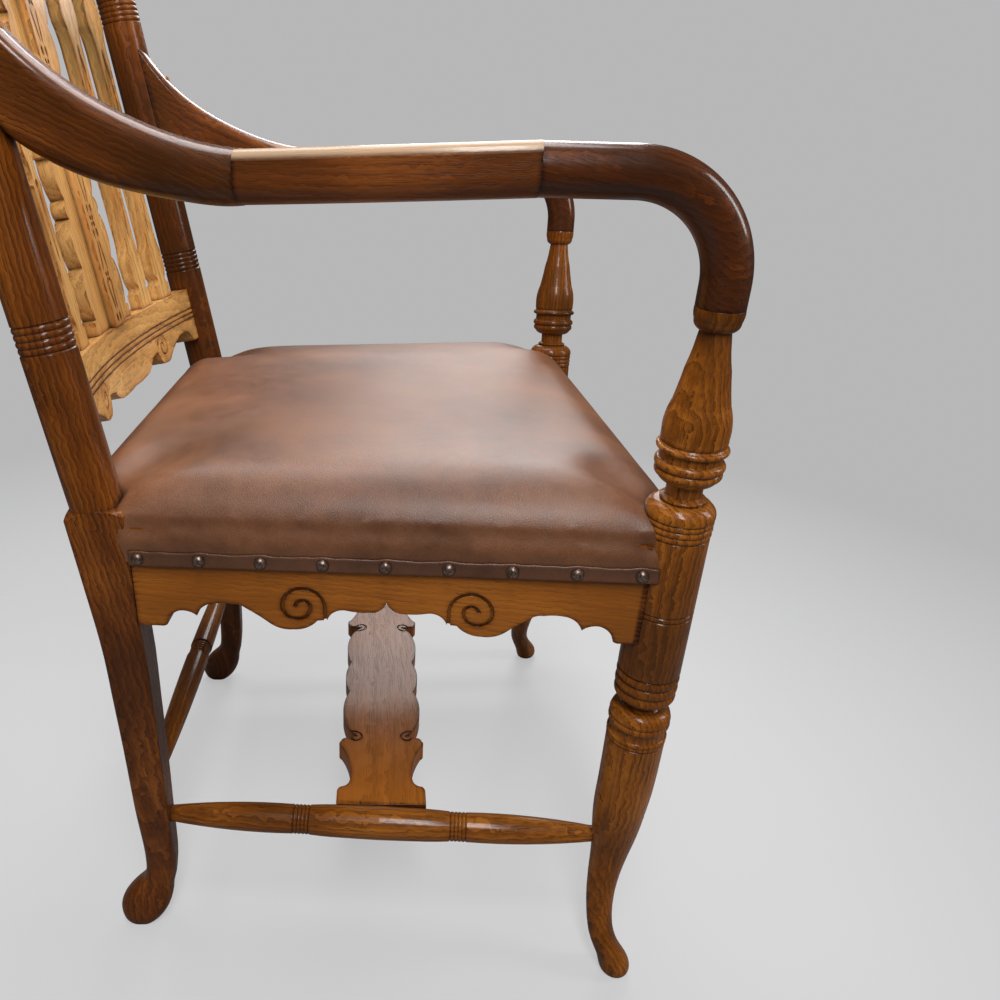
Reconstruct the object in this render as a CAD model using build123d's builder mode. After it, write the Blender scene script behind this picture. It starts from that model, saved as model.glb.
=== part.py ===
from build123d import *
import os
from math import asin, atan, cos, radians, sin, tan

# An oak elbow chair: turned front legs that carry bent arms, raked back posts,
# a bowed back of pierced slats, a turned underframe and a stuffed leather seat.
# Millimetres, Z up, the front towards -Y, the sitter's left towards +X.
# Y runs from the middle of the side stretchers until the finished chair is
# centred over its origin, at the end.

# Front leg and arm support, a straight turning that leans outward
front_axis_x = 272.0
front_axis_y = -217.2
front_axis_height = 460.0
front_splay = 5.06
front_rake = 0.6
front_leg_radius = 25.0
front_turning_base = 214.0
front_shaft_below = 91.0
front_shaft_above = 19.0
arm_joint_height = 614.0
front_foot_kick = 42.8
front_foot_length = 31.0
front_foot_width = 27.0
front_ankle = 23.0

# Rear leg, square below the seat, with a round raked post above it
rear_block_base = 345.0
rear_block_height = 430.0
rear_block_shoulder = 15.0
rear_block_x = 224.3
rear_block_front_y = 198.5
rear_block_width = 36.0
rear_block_depth = 36.0
rear_block_top_width = 40.0
rear_block_top_depth = 46.0
rear_foot_x = 212.0
rear_foot_y = 232.0
rear_foot_length = 47.0
rear_foot_width = 28.0
arris_radius = 3.0
post_x = 230.3
post_y = 222.0
post_rake = 10.57
post_radius = 20.5
post_top_height = 1010.0
post_bead_height = 574.0
post_bead_drop = 174.5
post_bead_band = 22.0

# Seat frame, which rises a little towards the front
rail_mid_height = 411.7
seat_slope = 1.15
rail_rise = 23.0
rail_drop = 64.0
rail_thickness = 24.0
side_rail_front_x = 285.0
side_rail_rear_x = 247.0
side_rail_half = 200.0
side_rail_lean = 4.6
front_rail_face_y = -224.0
front_rail_half = 243.0
rear_rail_half = 209.0
rear_rail_face_y = 240.7
rear_rail_drop = 55.0
rear_rail_lean = 6.0
tenon_thickness = 9.0
tenon_depth = 15.0
tenon_shoulder = 9.0
joint_clearance = 0.15
scroll_place = 66.0
scroll_radius = 17.0
scroll_rise = -41.0
scroll_tail = 13.0

# Underframe
stretcher_height = 126.0
stretcher_radius = 15.0
stretcher_end_radius = 7.2
stretcher_socket = 12.0
stretcher_front_y = -192.6
stretcher_rear_y = 195.0
stretcher_front_x = 236.8
stretcher_rear_x = 210.7
rear_stretcher_height = 168.0
rear_stretcher_y = 207.5
rear_stretcher_half = 200.8
rear_stretcher_radius = 12.5
board_top_height = 139.0
board_thickness = 17.0
board_half_width = 42.0
board_half_length = 214.0
board_tenon = 10.0
board_tenon_width = 46.0
board_scroll_x = 112.5
board_scroll_y = 29.0
board_scroll_radius = 9.0

# Arms, each of three lengths glued end to end
arm_radius = 16.7
arm_bend_radius = 68.0
arm_rise = 82.5
pad_front_y = -89.0
pad_front_x = 292.0
pad_mid_x = 285.5
pad_mid_y = 2.0
pad_rear_y = 96.0
pad_rear_x = 268.0
pad_fall = 10.0
pad_width = 38.0
pad_depth = 33.5
pad_top_round = 7.0
pad_under_round = 15.0
pad_rear_turn = 0.22
arm_end_rise = 67.5
arm_end_x = 229.0
arm_end_width = 27.0
arm_end_depth = 92.0
arm_end_round = 7.0
arm_cope = 8.0
dowel_radius = 4.6
dowel_half_length = 16.0

# Back, bowed backward in plan between the posts and alike about its middle height
lower_rail_top = 540.2
crest_drop = 141.2
back_bow = 23.6
back_set = 4.0
back_half_width = 212.0
back_rail_half_width = 213.5
back_rail_depth = 64.0
back_rail_thickness = 22.0
back_tenon_thickness = 9.0
back_tenon_shoulder = 8.0
back_tenon_depth = 38.0
back_tenon_reach = 15.0
crest_depth = 74.0
back_trim = 1.0
back_tenon_root = 5.0
slat_places = (-163.0, -107.5, 107.5, 163.0)
slat_half_width = 15.5
slat_thickness = 13.0
slat_tongue = 9.0
slat_tongue_half = 11.0
slat_tongue_thickness = 7.0
splat_half_width = 56.5
splat_thickness = 13.0
splat_tongue_half = 46.0
strip_half_width = 14.5
strip_proud = 7.0
petal_length = 5.0
petal_width = 3.0
flower_half = 4.0
leaf_length = 8.0
leaf_width = 4.0
leaf_side = 4.6
leaf_rise = 11.0
lancet_length = 27.0
lancet_width = 2.4
lancet_side = 4.4
lancet_lean = 9.0
lancet_depth = 2.2
line_width = 1.7
line_depth = 1.4
line_pitch = 5.2
line_count = 3
line_drop = 22.5
groove_width = 2.6
fine_share = 0.7
groove_depth = 2.0
back_scroll_place = 107.0
back_scroll_radius = 13.0
back_scroll_drop = 18.0

# Leather, webbing and stuffing
leather = 2.5
soft_clearance = 0.3
leather_skirt = 7.0
seat_crown = 43.0
seat_rounding = 160.0
seat_top_corner = 60.0
webbing_width = 50.0
webbing_thickness = 1.5
webbing_pitch = 82.0
webbing_lap = 15.0
webbing_count = 5
hessian_thickness = 1.0
hessian_inset = 6.0
band_width = 12.5
band_thickness = 1.6
nail_radius = 5.0
nail_dome = 3.2
dome_out_share = 0.72
dome_up_share = 0.70
nail_shank_radius = 0.9
nail_shank_length = 13.0
nail_pitch = 48.0
side_nails = 9
front_nails = 10
rear_nails = 8

# Glue blocks in the seat corners and the screws through them
block_leg = 66.0
block_height = 32.0
screw_radius = 2.0
screw_head_radius = 4.2
screw_bite = 12.0
screw_head_depth = 12.0
screw_head_height = 3.0
screw_place = 42.0

overrun = 80.0

# Heights that follow from the ones above
arm_top_height = arm_joint_height + arm_rise
pad_rear_height = arm_top_height - pad_fall
arm_end_height = arm_top_height + arm_end_rise
back_mid_height = (lower_rail_top + post_top_height - crest_drop) / 2
back_opening_half = (post_top_height - crest_drop - lower_rail_top) / 2
post_bead_heights = (post_bead_height, post_top_height - post_bead_drop)

finished = []


def keep(piece, label):
    piece.part.label = label
    finished.append(piece.part)


def front_axis_at(height):
    rise = height - front_axis_height
    x = front_axis_x + rise * tan(radians(front_splay))
    y = front_axis_y - rise * tan(radians(front_rake))
    return Vector(x, y, height)


def post_axis_at(height):
    return Vector(post_x, post_y + (height - rear_block_height) * tan(radians(post_rake)), height)


def across(start, end):
    # The plane at start that the line to end crosses at right angles, its own X level
    along = (end - start).normalized()
    level = Vector(0, 0, 1).cross(along)
    side = level if level.length > abs(along.Z) else Vector(1, 0, 0) - along * along.X
    return Plane(origin=start, x_dir=side, z_dir=along)


def draw_outline(rows, x_scale, y_scale, x_start=0.0, y_start=0.0):
    # Each row is a share across, a share up and the bulge of the stretch before it
    points = [(x_start + row[0] * x_scale, y_start + row[1] * y_scale) for row in rows]
    for low, high, row in zip(points, points[1:], rows[1:]):
        if row[2]:
            SagittaArc(low, high, row[2] * (Vector(*high) - Vector(*low)).length)
        else:
            Line(low, high)
    return points


def turn(start, end, radius, shares, mode=Mode.ADD):
    # Each row is a share of the length, a share of the radius and the bulge below it
    along = (end - start).normalized()
    side = across(start, end).x_dir
    length = (end - start).length
    rows = [(row[1], row[0], -row[2]) for row in shares]
    with BuildSketch(Plane(origin=start, x_dir=side, z_dir=side.cross(along))) as profile:
        with BuildLine():
            points = draw_outline(rows, radius, length)
            Polyline(points[-1], (0, points[-1][1]), (0, points[0][1]), points[0])
        make_face()
    revolve(profile.sketch, axis=Axis(start, along), mode=mode)


def rod(start, end, radius, mode=Mode.ADD):
    with BuildSketch(across(start, end)) as section:
        Circle(radius)
    extrude(section.sketch, amount=(end - start).length, mode=mode)


def bar(plane, width, height, depth, mode=Mode.ADD):
    with BuildSketch(plane) as section:
        Rectangle(width, height)
    extrude(section.sketch, amount=depth, mode=mode)


def beads(low, high, count, share, bulge=0.22):
    step = (high - low) / count
    return [(low + step * (index + 1), share, bulge) for index in range(count)]


def groove(low, high, share, floor_share):
    middle = (low + high) / 2
    return [(low, share, 0), (middle, floor_share, 0), (high, share, 0)]


# Front legs
lower_turning_shares = (
    [(0.0, 0.965, 0), (0.318, 0.975, 0), (0.323, 0.945, 0)]
    + beads(0.323, 0.395, 2, 0.965)
    + [(0.397, 0.94, 0), (0.470, 0.94, -0.10)]
    + beads(0.470, 0.537, 1, 0.965)
    + [(0.541, 0.985, 0), (0.575, 0.985, 0.15), (0.640, 0.62, 0.22), (0.655, 0.53, 0), (0.700, 0.53, 0)]
    + [(0.717, 0.55, 0.35), (0.7215, 0.60, 0), (0.738, 0.90, 0)]
    + beads(0.738, 0.991, 3, 0.93)
    + [(1.0, 1.0, 0)]
)
shaft_shares = (
    [(0.0, 1.0, 0)]
    + groove(0.502, 0.520, 1.0, 0.965)
    + groove(0.542, 0.560, 1.0, 0.965)
    + [(1.0, 1.0, 0)]
)
upper_turning_shares = (
    [(0.0, 1.0, 0), (0.0773, 1.0, 0), (0.080, 0.965, 0)]
    + beads(0.080, 0.160, 3, 0.985)
    + [(0.163, 1.03, 0), (0.182, 1.03, 0.05), (0.207, 0.93, 0.10), (0.225, 0.70, 0.10)]
    + [(0.227, 0.64, 0), (0.2415, 0.64, 0.35), (0.250, 0.53, 0), (0.302, 0.53, 0), (0.306, 0.62, 0)]
    + [(0.333, 0.88, 0.12), (0.3685, 0.92, 0.28), (0.406, 0.91, 0.34), (0.408, 0.89, 0), (0.441, 0.89, 0)]
    + [(0.443, 0.96, 0), (0.467, 0.965, 0.4), (0.475, 0.91, 0), (0.500, 0.945, 0.1)]
    + [(0.634, 0.805, 0.06), (0.768, 0.625, -0.01), (0.880, 0.465, -0.02), (0.9127, 0.43, 0)]
    + [(0.917, 0.48, 0), (0.951, 0.63, 0.15), (0.985, 0.675, 0.05), (1.0, 0.66, 0.05)]
)
upper_turning_widest_share = 1.06
# Each row is shares of the turning's height, of the kick across and of the kick back,
# then the sizes along and across the foot, in ankles down to the ankle and in feet below
front_leg_shares = (
    (0.96, 0.0, 0.003, 2.09), (0.88, 0.0, 0.012, 2.06), (0.804, 0.0, 0.030, 2.01),
    (0.6355, 0.0, 0.045, 1.74),
    (0.551, 0.023, 0.068, 1.52), (0.425, 0.147, 0.152, 1.245), (0.315, 0.355, 0.215, 1.08),
    (0.2547, 0.500, 0.222, 1.02),
)
front_foot_shares = (
    (0.1766, 0.706, 0.173, 0.77, 0.86), (0.1136, 0.843, 0.033, 0.88, 0.92),
    (0.0575, 0.932, -0.112, 1.0, 1.0),
    (0.014, 0.980, -0.140, 0.87, 0.90), (0.0, 1.0, -0.150, 0.62, 0.66),
)
front_shaft_low = front_axis_at(rail_mid_height - front_shaft_below)
front_shaft_high = front_axis_at(rail_mid_height + front_shaft_above)
front_leg_bottom = front_axis_at(front_turning_base)
arm_joint = front_axis_at(arm_joint_height)
kick_direction = Vector(cos(radians(34)), -sin(radians(34)), 0)


def front_section(height_share, x_share, y_share, length, width):
    straight = front_axis_at(front_turning_base * height_share)
    centre = Vector(straight.X + x_share * front_foot_kick, straight.Y + y_share * front_foot_kick,
        straight.Z)
    with BuildSketch(Plane(origin=centre, x_dir=kick_direction, z_dir=(0, 0, 1))) as section:
        Ellipse(length / 2, width / 2)
    return section.sketch.faces()[0]


def front_leg_solid():
    turn(front_shaft_high, arm_joint, front_leg_radius, upper_turning_shares)
    turn(front_shaft_low, front_shaft_high, front_leg_radius, shaft_shares)
    turn(front_leg_bottom, front_shaft_low, front_leg_radius, lower_turning_shares)
    along = (arm_joint - front_leg_bottom).normalized()
    side = kick_direction - along * kick_direction.dot(along)
    with BuildSketch(Plane(origin=front_leg_bottom, x_dir=side, z_dir=along)) as top:
        Circle(lower_turning_shares[0][1] * front_leg_radius)
    sections = [top.sketch.faces()[0]]
    for height_share, x_share, y_share, ankle_share in front_leg_shares:
        size = ankle_share * front_ankle
        sections.append(front_section(height_share, x_share, y_share, size, size))
    for height_share, x_share, y_share, length_share, width_share in front_foot_shares:
        length = length_share * front_foot_length
        sections.append(front_section(height_share, x_share, y_share, length,
            width_share * front_foot_width))
    loft(sections)


# Seat frame planes: a level line along each rail's outer face at the nail line
slope = radians(seat_slope)
seat_normal = Vector(0, sin(slope), cos(slope))
seat_origin = Vector(0, 0, rail_mid_height)
side_turn = atan((side_rail_front_x - side_rail_rear_x) / (2 * side_rail_half))
side_rail_mid_x = (side_rail_front_x + side_rail_rear_x) / 2


def seat_plane(height):
    return Plane(origin=seat_origin + seat_normal * height, x_dir=(1, 0, 0), z_dir=seat_normal)


def seat_point(x, y, height=0.0):
    return seat_plane(height).from_local_coords(Vector(x, y, 0))


def rail_face(origin, along, lean):
    # A rail's outer face: its X runs along the rail, its Y up the leaning face
    level_out = along.cross(seat_normal).normalized()
    out = level_out * cos(radians(lean)) - seat_normal * sin(radians(lean))
    return Plane(origin=origin, x_dir=along, z_dir=out)


side_along = (seat_point(-sin(side_turn), cos(side_turn)) - seat_origin).normalized()
side_face = rail_face(seat_point(side_rail_mid_x, 0), side_along, side_rail_lean)
front_face = rail_face(seat_point(0, front_rail_face_y), Vector(1, 0, 0), 0)
side_face_right = rail_face(
    seat_point(-side_rail_mid_x, 0),
    (seat_point(-sin(side_turn), -cos(side_turn)) - seat_origin).normalized(), side_rail_lean
)
rear_face = rail_face(seat_point(0, rear_rail_face_y), Vector(-1, 0, 0), rear_rail_lean)

# Shares of the radius for each half turn of a scroll, from its eye outward
scroll_turn_shares = (0.353, 0.665, 1.0)

# Half of the scalloped edge, from the middle of the rail to its end
scallop_shares = (
    (0.0, -0.53, 0), (0.065, -0.69, -0.18), (0.155, -0.675, -0.04), (0.235, -0.82, 0.20), (0.275, -0.835, 0),
    (0.375, -0.98, -0.12), (0.465, -0.905, -0.10), (0.560, -0.69, 0.02), (0.610, -0.643, 0.12),
    (0.690, -0.640, 0.05), (0.760, -0.83, 0.15), (0.830, -0.765, 0.12), (0.885, -0.975, 0.15),
    (0.915, -1.0, -0.12), (1.0, -1.0, 0),
)


def flipped(rows, x_sign=-1, y_sign=1):
    # The same edge mirrored, and so drawn from its other end
    bulges = [0] + [row[2] for row in reversed(rows[1:])]
    return [(x_sign * row[0], y_sign * row[1], bulge) for row, bulge in zip(reversed(rows), bulges)]


def closed_outline(rows, x_scale, y_scale):
    # A form alike left and right and up and down, from the edge of its lower right quarter
    right = list(rows) + flipped(rows, 1, -1)[1:]
    left = flipped(right)
    with BuildLine() as edge:
        right_points = draw_outline(right, x_scale, y_scale)
        left_points = draw_outline(left, x_scale, y_scale)
        Line(right_points[-1], left_points[0])
        Line(left_points[-1], right_points[0])
    make_face(edge.edges())


def shaped_rail(face, half, reach, rise):
    edge = flipped(scallop_shares) + list(scallop_shares[1:])
    with BuildSketch(face) as profile:
        with BuildLine():
            points = draw_outline(edge, half, rail_drop)
            top = rise + tenon_shoulder
            Polyline(points[-1], (reach, -rail_drop), (reach, top), (-reach, top), (-reach, -rail_drop),
                points[0])
        make_face()
    extrude(profile.sketch, amount=-rail_thickness)
    split(bisect_by=seat_plane(rise), keep=Keep.BOTTOM)


def scroll(face, centre, radius, flip, width, depth, tail=0.0):
    # A spiral of half turns that opens towards the edge, cut into the face
    with BuildSketch(face) as spiral:
        with BuildLine():
            side = 1
            start = (centre[0] - flip * scroll_turn_shares[0] * radius, centre[1])
            for share in scroll_turn_shares:
                size = share * radius
                end = (start[0] + flip * side * 2 * size, centre[1])
                ThreePointArc(start, ((start[0] + end[0]) / 2, centre[1] + side * size), end)
                start = end
                side = -side
            if tail:
                Line(start, (start[0], centre[1] - tail))
        trace(line_width=width)
    extrude(spiral.sketch, amount=-depth, mode=Mode.SUBTRACT)


def rear_block(extra=0.0):
    # The square of the rear leg that the seat rails meet
    top_share = 1 + rear_block_shoulder / (rear_block_height - rear_block_base)
    sections = []
    for share in (0.0, top_share):
        depth = rear_block_depth + share * (rear_block_top_depth - rear_block_depth)
        width = rear_block_width + share * (rear_block_top_width - rear_block_width)
        x = rear_block_x + share * (post_x - rear_block_x)
        height = rear_block_base + share * (rear_block_height - rear_block_base)
        centre = (x, rear_block_front_y + depth / 2, height)
        with BuildSketch(Plane(origin=centre, z_dir=(0, 0, 1), x_dir=(1, 0, 0))) as section:
            RectangleRounded(width + 2 * extra, depth + 2 * extra, arris_radius)
        sections.append(section.sketch.faces()[0])
    loft(sections, ruled=True, mode=Mode.ADD if not extra else Mode.SUBTRACT)


# Rows down the rear leg: share of the block's height, kick back, shift across,
# depth and width in blocks, and how round the corners are
rear_leg_shares = (
    (0.896, -0.170, 0.17, 0.960, 0.944, 0.17), (0.780, -0.250, 0.366, 0.930, 0.889, 0.18),
    (0.687, -0.310, 0.52, 0.900, 0.850, 0.20), (0.542, -0.390, 0.78, 0.860, 0.800, 0.22),
    (0.371, -0.460, 1.07, 0.810, 0.730, 0.30), (0.281, -0.530, 1.23, 0.780, 0.690, 0.42),
)
rear_foot_shares = (
    (0.209, -0.520, 1.35, 0.600, 0.80, 0.60), (0.174, -0.450, 1.366, 0.600, 0.80, 0.72),
    (0.145, -0.280, 1.35, 0.650, 0.82, 0.82), (0.122, 0.050, 1.31, 0.780, 0.86, 0.90),
    (0.0957, 0.350, 1.24, 0.930, 0.94, 0.92), (0.0638, 0.620, 1.16, 1.0, 1.0, 0.92),
    (0.0348, 0.780, 1.08, 0.900, 1.0, 0.92), (0.0116, 0.900, 1.02, 0.700, 0.89, 0.92),
    (0.0, 0.920, 1.0, 0.520, 0.74, 0.92),
)


def rear_section(height_share, kick_share, shift_share, depth, width, corner_share):
    block_y = rear_block_front_y + rear_block_depth / 2
    x = rear_block_x + shift_share * (rear_foot_x - rear_block_x)
    y = block_y + kick_share * (rear_foot_y - block_y)
    centre = (x, y, rear_block_base * height_share)
    with BuildSketch(Plane(origin=centre, x_dir=(1, 0, 0), z_dir=(0, 0, 1))) as section:
        RectangleRounded(width, depth, corner_share * min(width, depth) / 2)
    return section.sketch.faces()[0]


post_base = post_axis_at(rear_block_height)
post_top = post_axis_at(post_top_height)
post_length = (post_top - post_base).length


def post_share(height):
    return (height - rear_block_height) / (post_top_height - rear_block_height)


bead_edge_share = 0.05


def post_beads(height):
    low = post_share(height - post_bead_band / 2)
    high = post_share(height + post_bead_band / 2)
    edge = bead_edge_share * (high - low)
    turned = beads(low + edge, high - edge, 4, 0.95)
    return [(low, 1.0, 0), (low + edge, 0.94, 0)] + turned + [(high, 1.0, 0)]


post_shares = (
    [(0.0, 1.0, 0)]
    + post_beads(post_bead_heights[0])
    + post_beads(post_bead_heights[1])
    + [(0.880, 1.0, 0), (0.884, 0.93, 0)]
    + beads(0.884, 0.910, 2, 0.93)
    + [(0.914, 0.80, 0), (0.924, 0.50, -0.2), (0.930, 0.50, 0), (0.934, 0.62, 0.3), (0.938, 0.62, 0)]
    + [(0.960, 0.90, 0.22), (0.982, 0.55, 0.22), (0.986, 0.36, 0), (0.990, 0.36, 0), (1.0, 0.12, 0.35)]
)


# The rounded shoulder between the block and the post
shoulder_radius_share = 0.97
shoulder_bulge_share = 0.14


def rear_post_solid():
    rear_block()
    bottom_face = rear_section(1.0, 0.0, 0.0, rear_block_depth, rear_block_width,
        2 * arris_radius / rear_block_width)
    sections = [bottom_face]
    for height_share, kick, shift, depth, width, corner in rear_leg_shares:
        sections.append(rear_section(height_share, kick, shift, depth * rear_block_depth,
            width * rear_block_width, corner))
    for height_share, kick, shift, depth, width, corner in rear_foot_shares:
        sections.append(rear_section(height_share, kick, shift, depth * rear_foot_length,
            width * rear_foot_width, corner))
    loft(sections)
    shoulder_top = post_axis_at(rear_block_height + rear_block_shoulder)
    reach = rear_block_width
    with BuildSketch(Plane(origin=post_base, x_dir=(1, 0, 0),
            z_dir=Vector(1, 0, 0).cross(post_top - post_base))) as pommel:
        with BuildLine():
            low = (reach, -rear_block_shoulder / 2)
            high = (shoulder_radius_share * post_radius, (shoulder_top - post_base).length)
            SagittaArc(low, high, -shoulder_bulge_share * reach)
            Polyline(high, (high[0], high[1] + reach), (2 * reach, high[1] + reach), (2 * reach, low[1]),
                low)
        make_face()
    revolve(pommel.sketch, axis=Axis(post_base, post_top - post_base), mode=Mode.SUBTRACT)
    turn(post_base, post_top, post_radius, post_shares)


# Back frame, leaning with the posts: X across, Y up the posts, -Z towards the rear
rake = radians(post_rake)
back_up = Vector(0, sin(rake), cos(rake))
back_rear = Vector(0, cos(rake), -sin(rake))
back_origin = Vector(0, post_axis_at(back_mid_height).Y, back_mid_height)
back_radius = (back_half_width**2 + back_bow**2) / (2 * back_bow)
bow_centre = back_bow - back_set - back_radius


def back_point(x, rear, up):
    return back_origin + Vector(x, 0, 0) + back_rear * rear + back_up * up


def back_view(x=0.0, rear=0.0, up=0.0, turned=0.0):
    # Seen from the front, standing square to the bow at this place
    side = Vector(1, 0, 0) * cos(turned) - back_rear * sin(turned)
    return Plane(origin=back_point(x, rear, up), x_dir=side, z_dir=side.cross(back_up))


def bow_place(x, radius):
    turned = asin(x / radius)
    return turned, bow_centre + radius * cos(turned)


def bowed_band(inner, thickness, half_width, low, high, mode=Mode.ADD):
    with BuildSketch(Plane(origin=back_point(0, 0, low), x_dir=(1, 0, 0), z_dir=back_up)) as plan:
        with Locations((0, bow_centre)):
            Circle(inner + thickness)
            Circle(inner, mode=Mode.SUBTRACT)
        with Locations((0, bow_centre + inner)):
            Rectangle(2 * half_width, 4 * overrun, mode=Mode.INTERSECT)
    extrude(plan.sketch, amount=high - low, mode=mode)


# Half of the lower edge of the back rail, from the middle to the post
back_rail_shares = (
    (0.0, -0.97, 0), (0.200, -0.97, -0.02), (0.330, -0.79, -0.10), (0.425, -0.755, 0.03),
    (0.445, -0.90, -0.05),
    (0.510, -1.0, -0.15), (0.600, -0.93, -0.12), (0.730, -0.74, 0.02), (0.800, -0.70, 0.08),
    (0.870, -0.73, 0.10),
    (0.905, -0.86, 0.05), (0.930, -0.93, -0.10), (1.0, -0.92, 0),
)


def back_rail_solid(side, depth):
    # side is -1 for the rail below the slats and 1 for the crest above them
    inner = side * back_opening_half
    outer = inner + side * depth
    low = min(inner, outer) - back_trim
    high = max(inner, outer) + back_trim
    bowed_band(back_radius, back_rail_thickness, back_rail_half_width, low, high)
    edge = flipped(back_rail_shares) + list(back_rail_shares[1:])
    edge = [(row[0], -side * row[1], -side * row[2]) for row in edge]
    with BuildSketch(back_view()) as outline:
        with BuildLine():
            points = draw_outline(edge, back_rail_half_width, depth, 0.0, inner)
            Polyline(points[-1], (back_rail_half_width, inner), (-back_rail_half_width, inner), points[0])
        make_face()
    extrude(outline.sketch, amount=overrun, both=True, mode=Mode.INTERSECT)
    for index in range(line_count):
        low = inner + side * (line_drop + index * line_pitch) - line_width / 2
        bowed_band(back_radius - back_trim, line_depth + back_trim, back_half_width, low,
            low + line_width, Mode.SUBTRACT)


def slat_mortises(side, extra):
    for place in slat_places:
        turned, rear = bow_place(place, back_radius + back_rail_thickness / 2)
        width = 2 * (slat_tongue_half + extra)
        up = side * back_opening_half
        plane = Plane(origin=back_point(place, rear, up), x_dir=back_view(turned=turned).x_dir,
            z_dir=back_up)
        bar(plane, width, slat_tongue_thickness + 2 * extra, side * (slat_tongue + extra), Mode.SUBTRACT)
    splat_inner = back_radius + (back_rail_thickness - slat_tongue_thickness) / 2 - extra
    limits = sorted((side * back_opening_half, side * (back_opening_half + slat_tongue + extra)))
    bowed_band(splat_inner, slat_tongue_thickness + 2 * extra, splat_tongue_half + extra, *limits,
        Mode.SUBTRACT)


def back_tenon(side, extra, mode):
    # The tenon between a back rail and the left post
    turned, rear = bow_place(back_half_width, back_radius + back_rail_thickness / 2)
    up = side * (back_opening_half + back_tenon_shoulder + back_tenon_depth / 2)
    plane = Plane(origin=back_point(back_half_width - back_tenon_root, rear, up), x_dir=back_up,
        z_dir=(1, 0, 0))
    width = back_tenon_depth + 2 * extra
    bar(plane, width, back_tenon_thickness + 2 * extra, back_tenon_root + back_tenon_reach + extra, mode)


# Where the rails meet the legs
def side_tenon(end, extra, mode):
    # end is -1 at the front leg and 1 at the rear leg
    outset = extra if mode == Mode.SUBTRACT else 0.0
    place = side_face.from_local_coords(
        Vector(end * (side_rail_half - tenon_depth), (rail_rise - rail_drop) / 2, -rail_thickness / 2)
    )
    plane = Plane(origin=place, x_dir=side_face.y_dir, z_dir=side_face.x_dir * end)
    height = rail_rise + rail_drop - 2 * tenon_shoulder + 2 * outset
    bar(plane, height, tenon_thickness + 2 * outset, 2 * tenon_depth + outset, mode)


def front_tenon(extra, mode):
    outset = extra if mode == Mode.SUBTRACT else 0.0
    place = front_face.from_local_coords(
        Vector(front_rail_half - tenon_depth, (rail_rise - rail_drop) / 2, -rail_thickness / 2)
    )
    plane = Plane(origin=place, x_dir=front_face.y_dir, z_dir=front_face.x_dir)
    height = rail_rise + rail_drop - 2 * tenon_shoulder + 2 * outset
    bar(plane, height, tenon_thickness + 2 * outset, 2 * tenon_depth + outset, mode)


def rear_tenon(extra, mode):
    outset = extra if mode == Mode.SUBTRACT else 0.0
    place = rear_face.from_local_coords(
        Vector(tenon_depth - rear_rail_half, (rail_rise - rear_rail_drop) / 2, -rail_thickness / 2)
    )
    plane = Plane(origin=place, x_dir=rear_face.y_dir, z_dir=rear_face.x_dir * -1)
    height = rail_rise + rear_rail_drop - 2 * tenon_shoulder + 2 * outset
    bar(plane, height, tenon_thickness + 2 * outset, 2 * tenon_depth + outset, mode)


def front_leg_room(clearance):
    # Clear of the plain shaft at the rails and of the wider beads above it
    beads_start = front_axis_at(front_shaft_high.Z - clearance)
    rod(front_axis_at(rail_mid_height - 2 * rail_drop), beads_start, front_leg_radius + clearance,
        Mode.SUBTRACT)
    rod(beads_start, arm_joint, front_leg_radius * upper_turning_widest_share + clearance, Mode.SUBTRACT)


def post_room(mode=Mode.SUBTRACT):
    low = post_axis_at(back_mid_height - 2 * back_opening_half)
    rod(low, post_axis_at(back_mid_height + 2 * back_opening_half), post_radius + joint_clearance, mode)


stretcher_front = Vector(stretcher_front_x, stretcher_front_y, stretcher_height)
stretcher_rear = Vector(stretcher_rear_x, stretcher_rear_y, stretcher_height)
stretcher_along = (stretcher_front - stretcher_rear).normalized()
side_stretcher_ends = (
    stretcher_rear - stretcher_along * stretcher_socket,
    stretcher_front + stretcher_along * stretcher_socket,
)
rear_stretcher_ends = (
    Vector(-rear_stretcher_half - stretcher_socket, rear_stretcher_y, rear_stretcher_height),
    Vector(rear_stretcher_half + stretcher_socket, rear_stretcher_y, rear_stretcher_height),
)


def stretcher_sockets():
    radius = stretcher_end_radius + joint_clearance
    for start, end in (side_stretcher_ends, side_stretcher_ends[::-1], rear_stretcher_ends[::-1]):
        along = (end - start).normalized()
        rod(start - along * joint_clearance, start + along * 2 * stretcher_socket, radius, Mode.SUBTRACT)


# Joints between the arm's lengths, the leg and the post
pad_rear = Vector(pad_rear_x, pad_rear_y, pad_rear_height)
pad_front = Vector(pad_front_x, pad_front_y, arm_top_height)
pad_mid = Vector(pad_mid_x, pad_mid_y, (pad_rear_height + arm_top_height) / 2)
arm_corner = front_axis_at(arm_top_height)
arm_end = post_axis_at(arm_end_height) - back_rear * (post_radius - arm_cope)
arm_end = arm_end + Vector(arm_end_x - post_x, 0, 0)
pad_rear_plane = Plane(origin=pad_rear, x_dir=(1, pad_rear_turn, 0), z_dir=(pad_rear_turn, -1, 0))
pad_front_plane = across(pad_front, arm_corner)
dowel_lines = [
    (pad_rear, pad_rear_plane.z_dir),
    (pad_front, pad_front_plane.z_dir),
    (arm_joint, (arm_joint - front_leg_bottom).normalized()),
    (post_axis_at(arm_end_height) - back_rear * post_radius, back_rear),
]


def dowels(lines, extra, mode):
    half = dowel_half_length + extra
    for middle, along in lines:
        rod(middle - along * half, middle + along * half, dowel_radius + extra, mode)


# Legs and posts
with BuildPart() as front_leg_left:
    front_leg_solid()
    side_tenon(-1, joint_clearance, Mode.SUBTRACT)
    front_tenon(joint_clearance, Mode.SUBTRACT)
    stretcher_sockets()
    dowels(dowel_lines, joint_clearance, Mode.SUBTRACT)
keep(front_leg_left, "front_leg_left")

with BuildPart() as front_leg_right:
    mirror(front_leg_left.part, about=Plane.YZ)
keep(front_leg_right, "front_leg_right")

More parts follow.
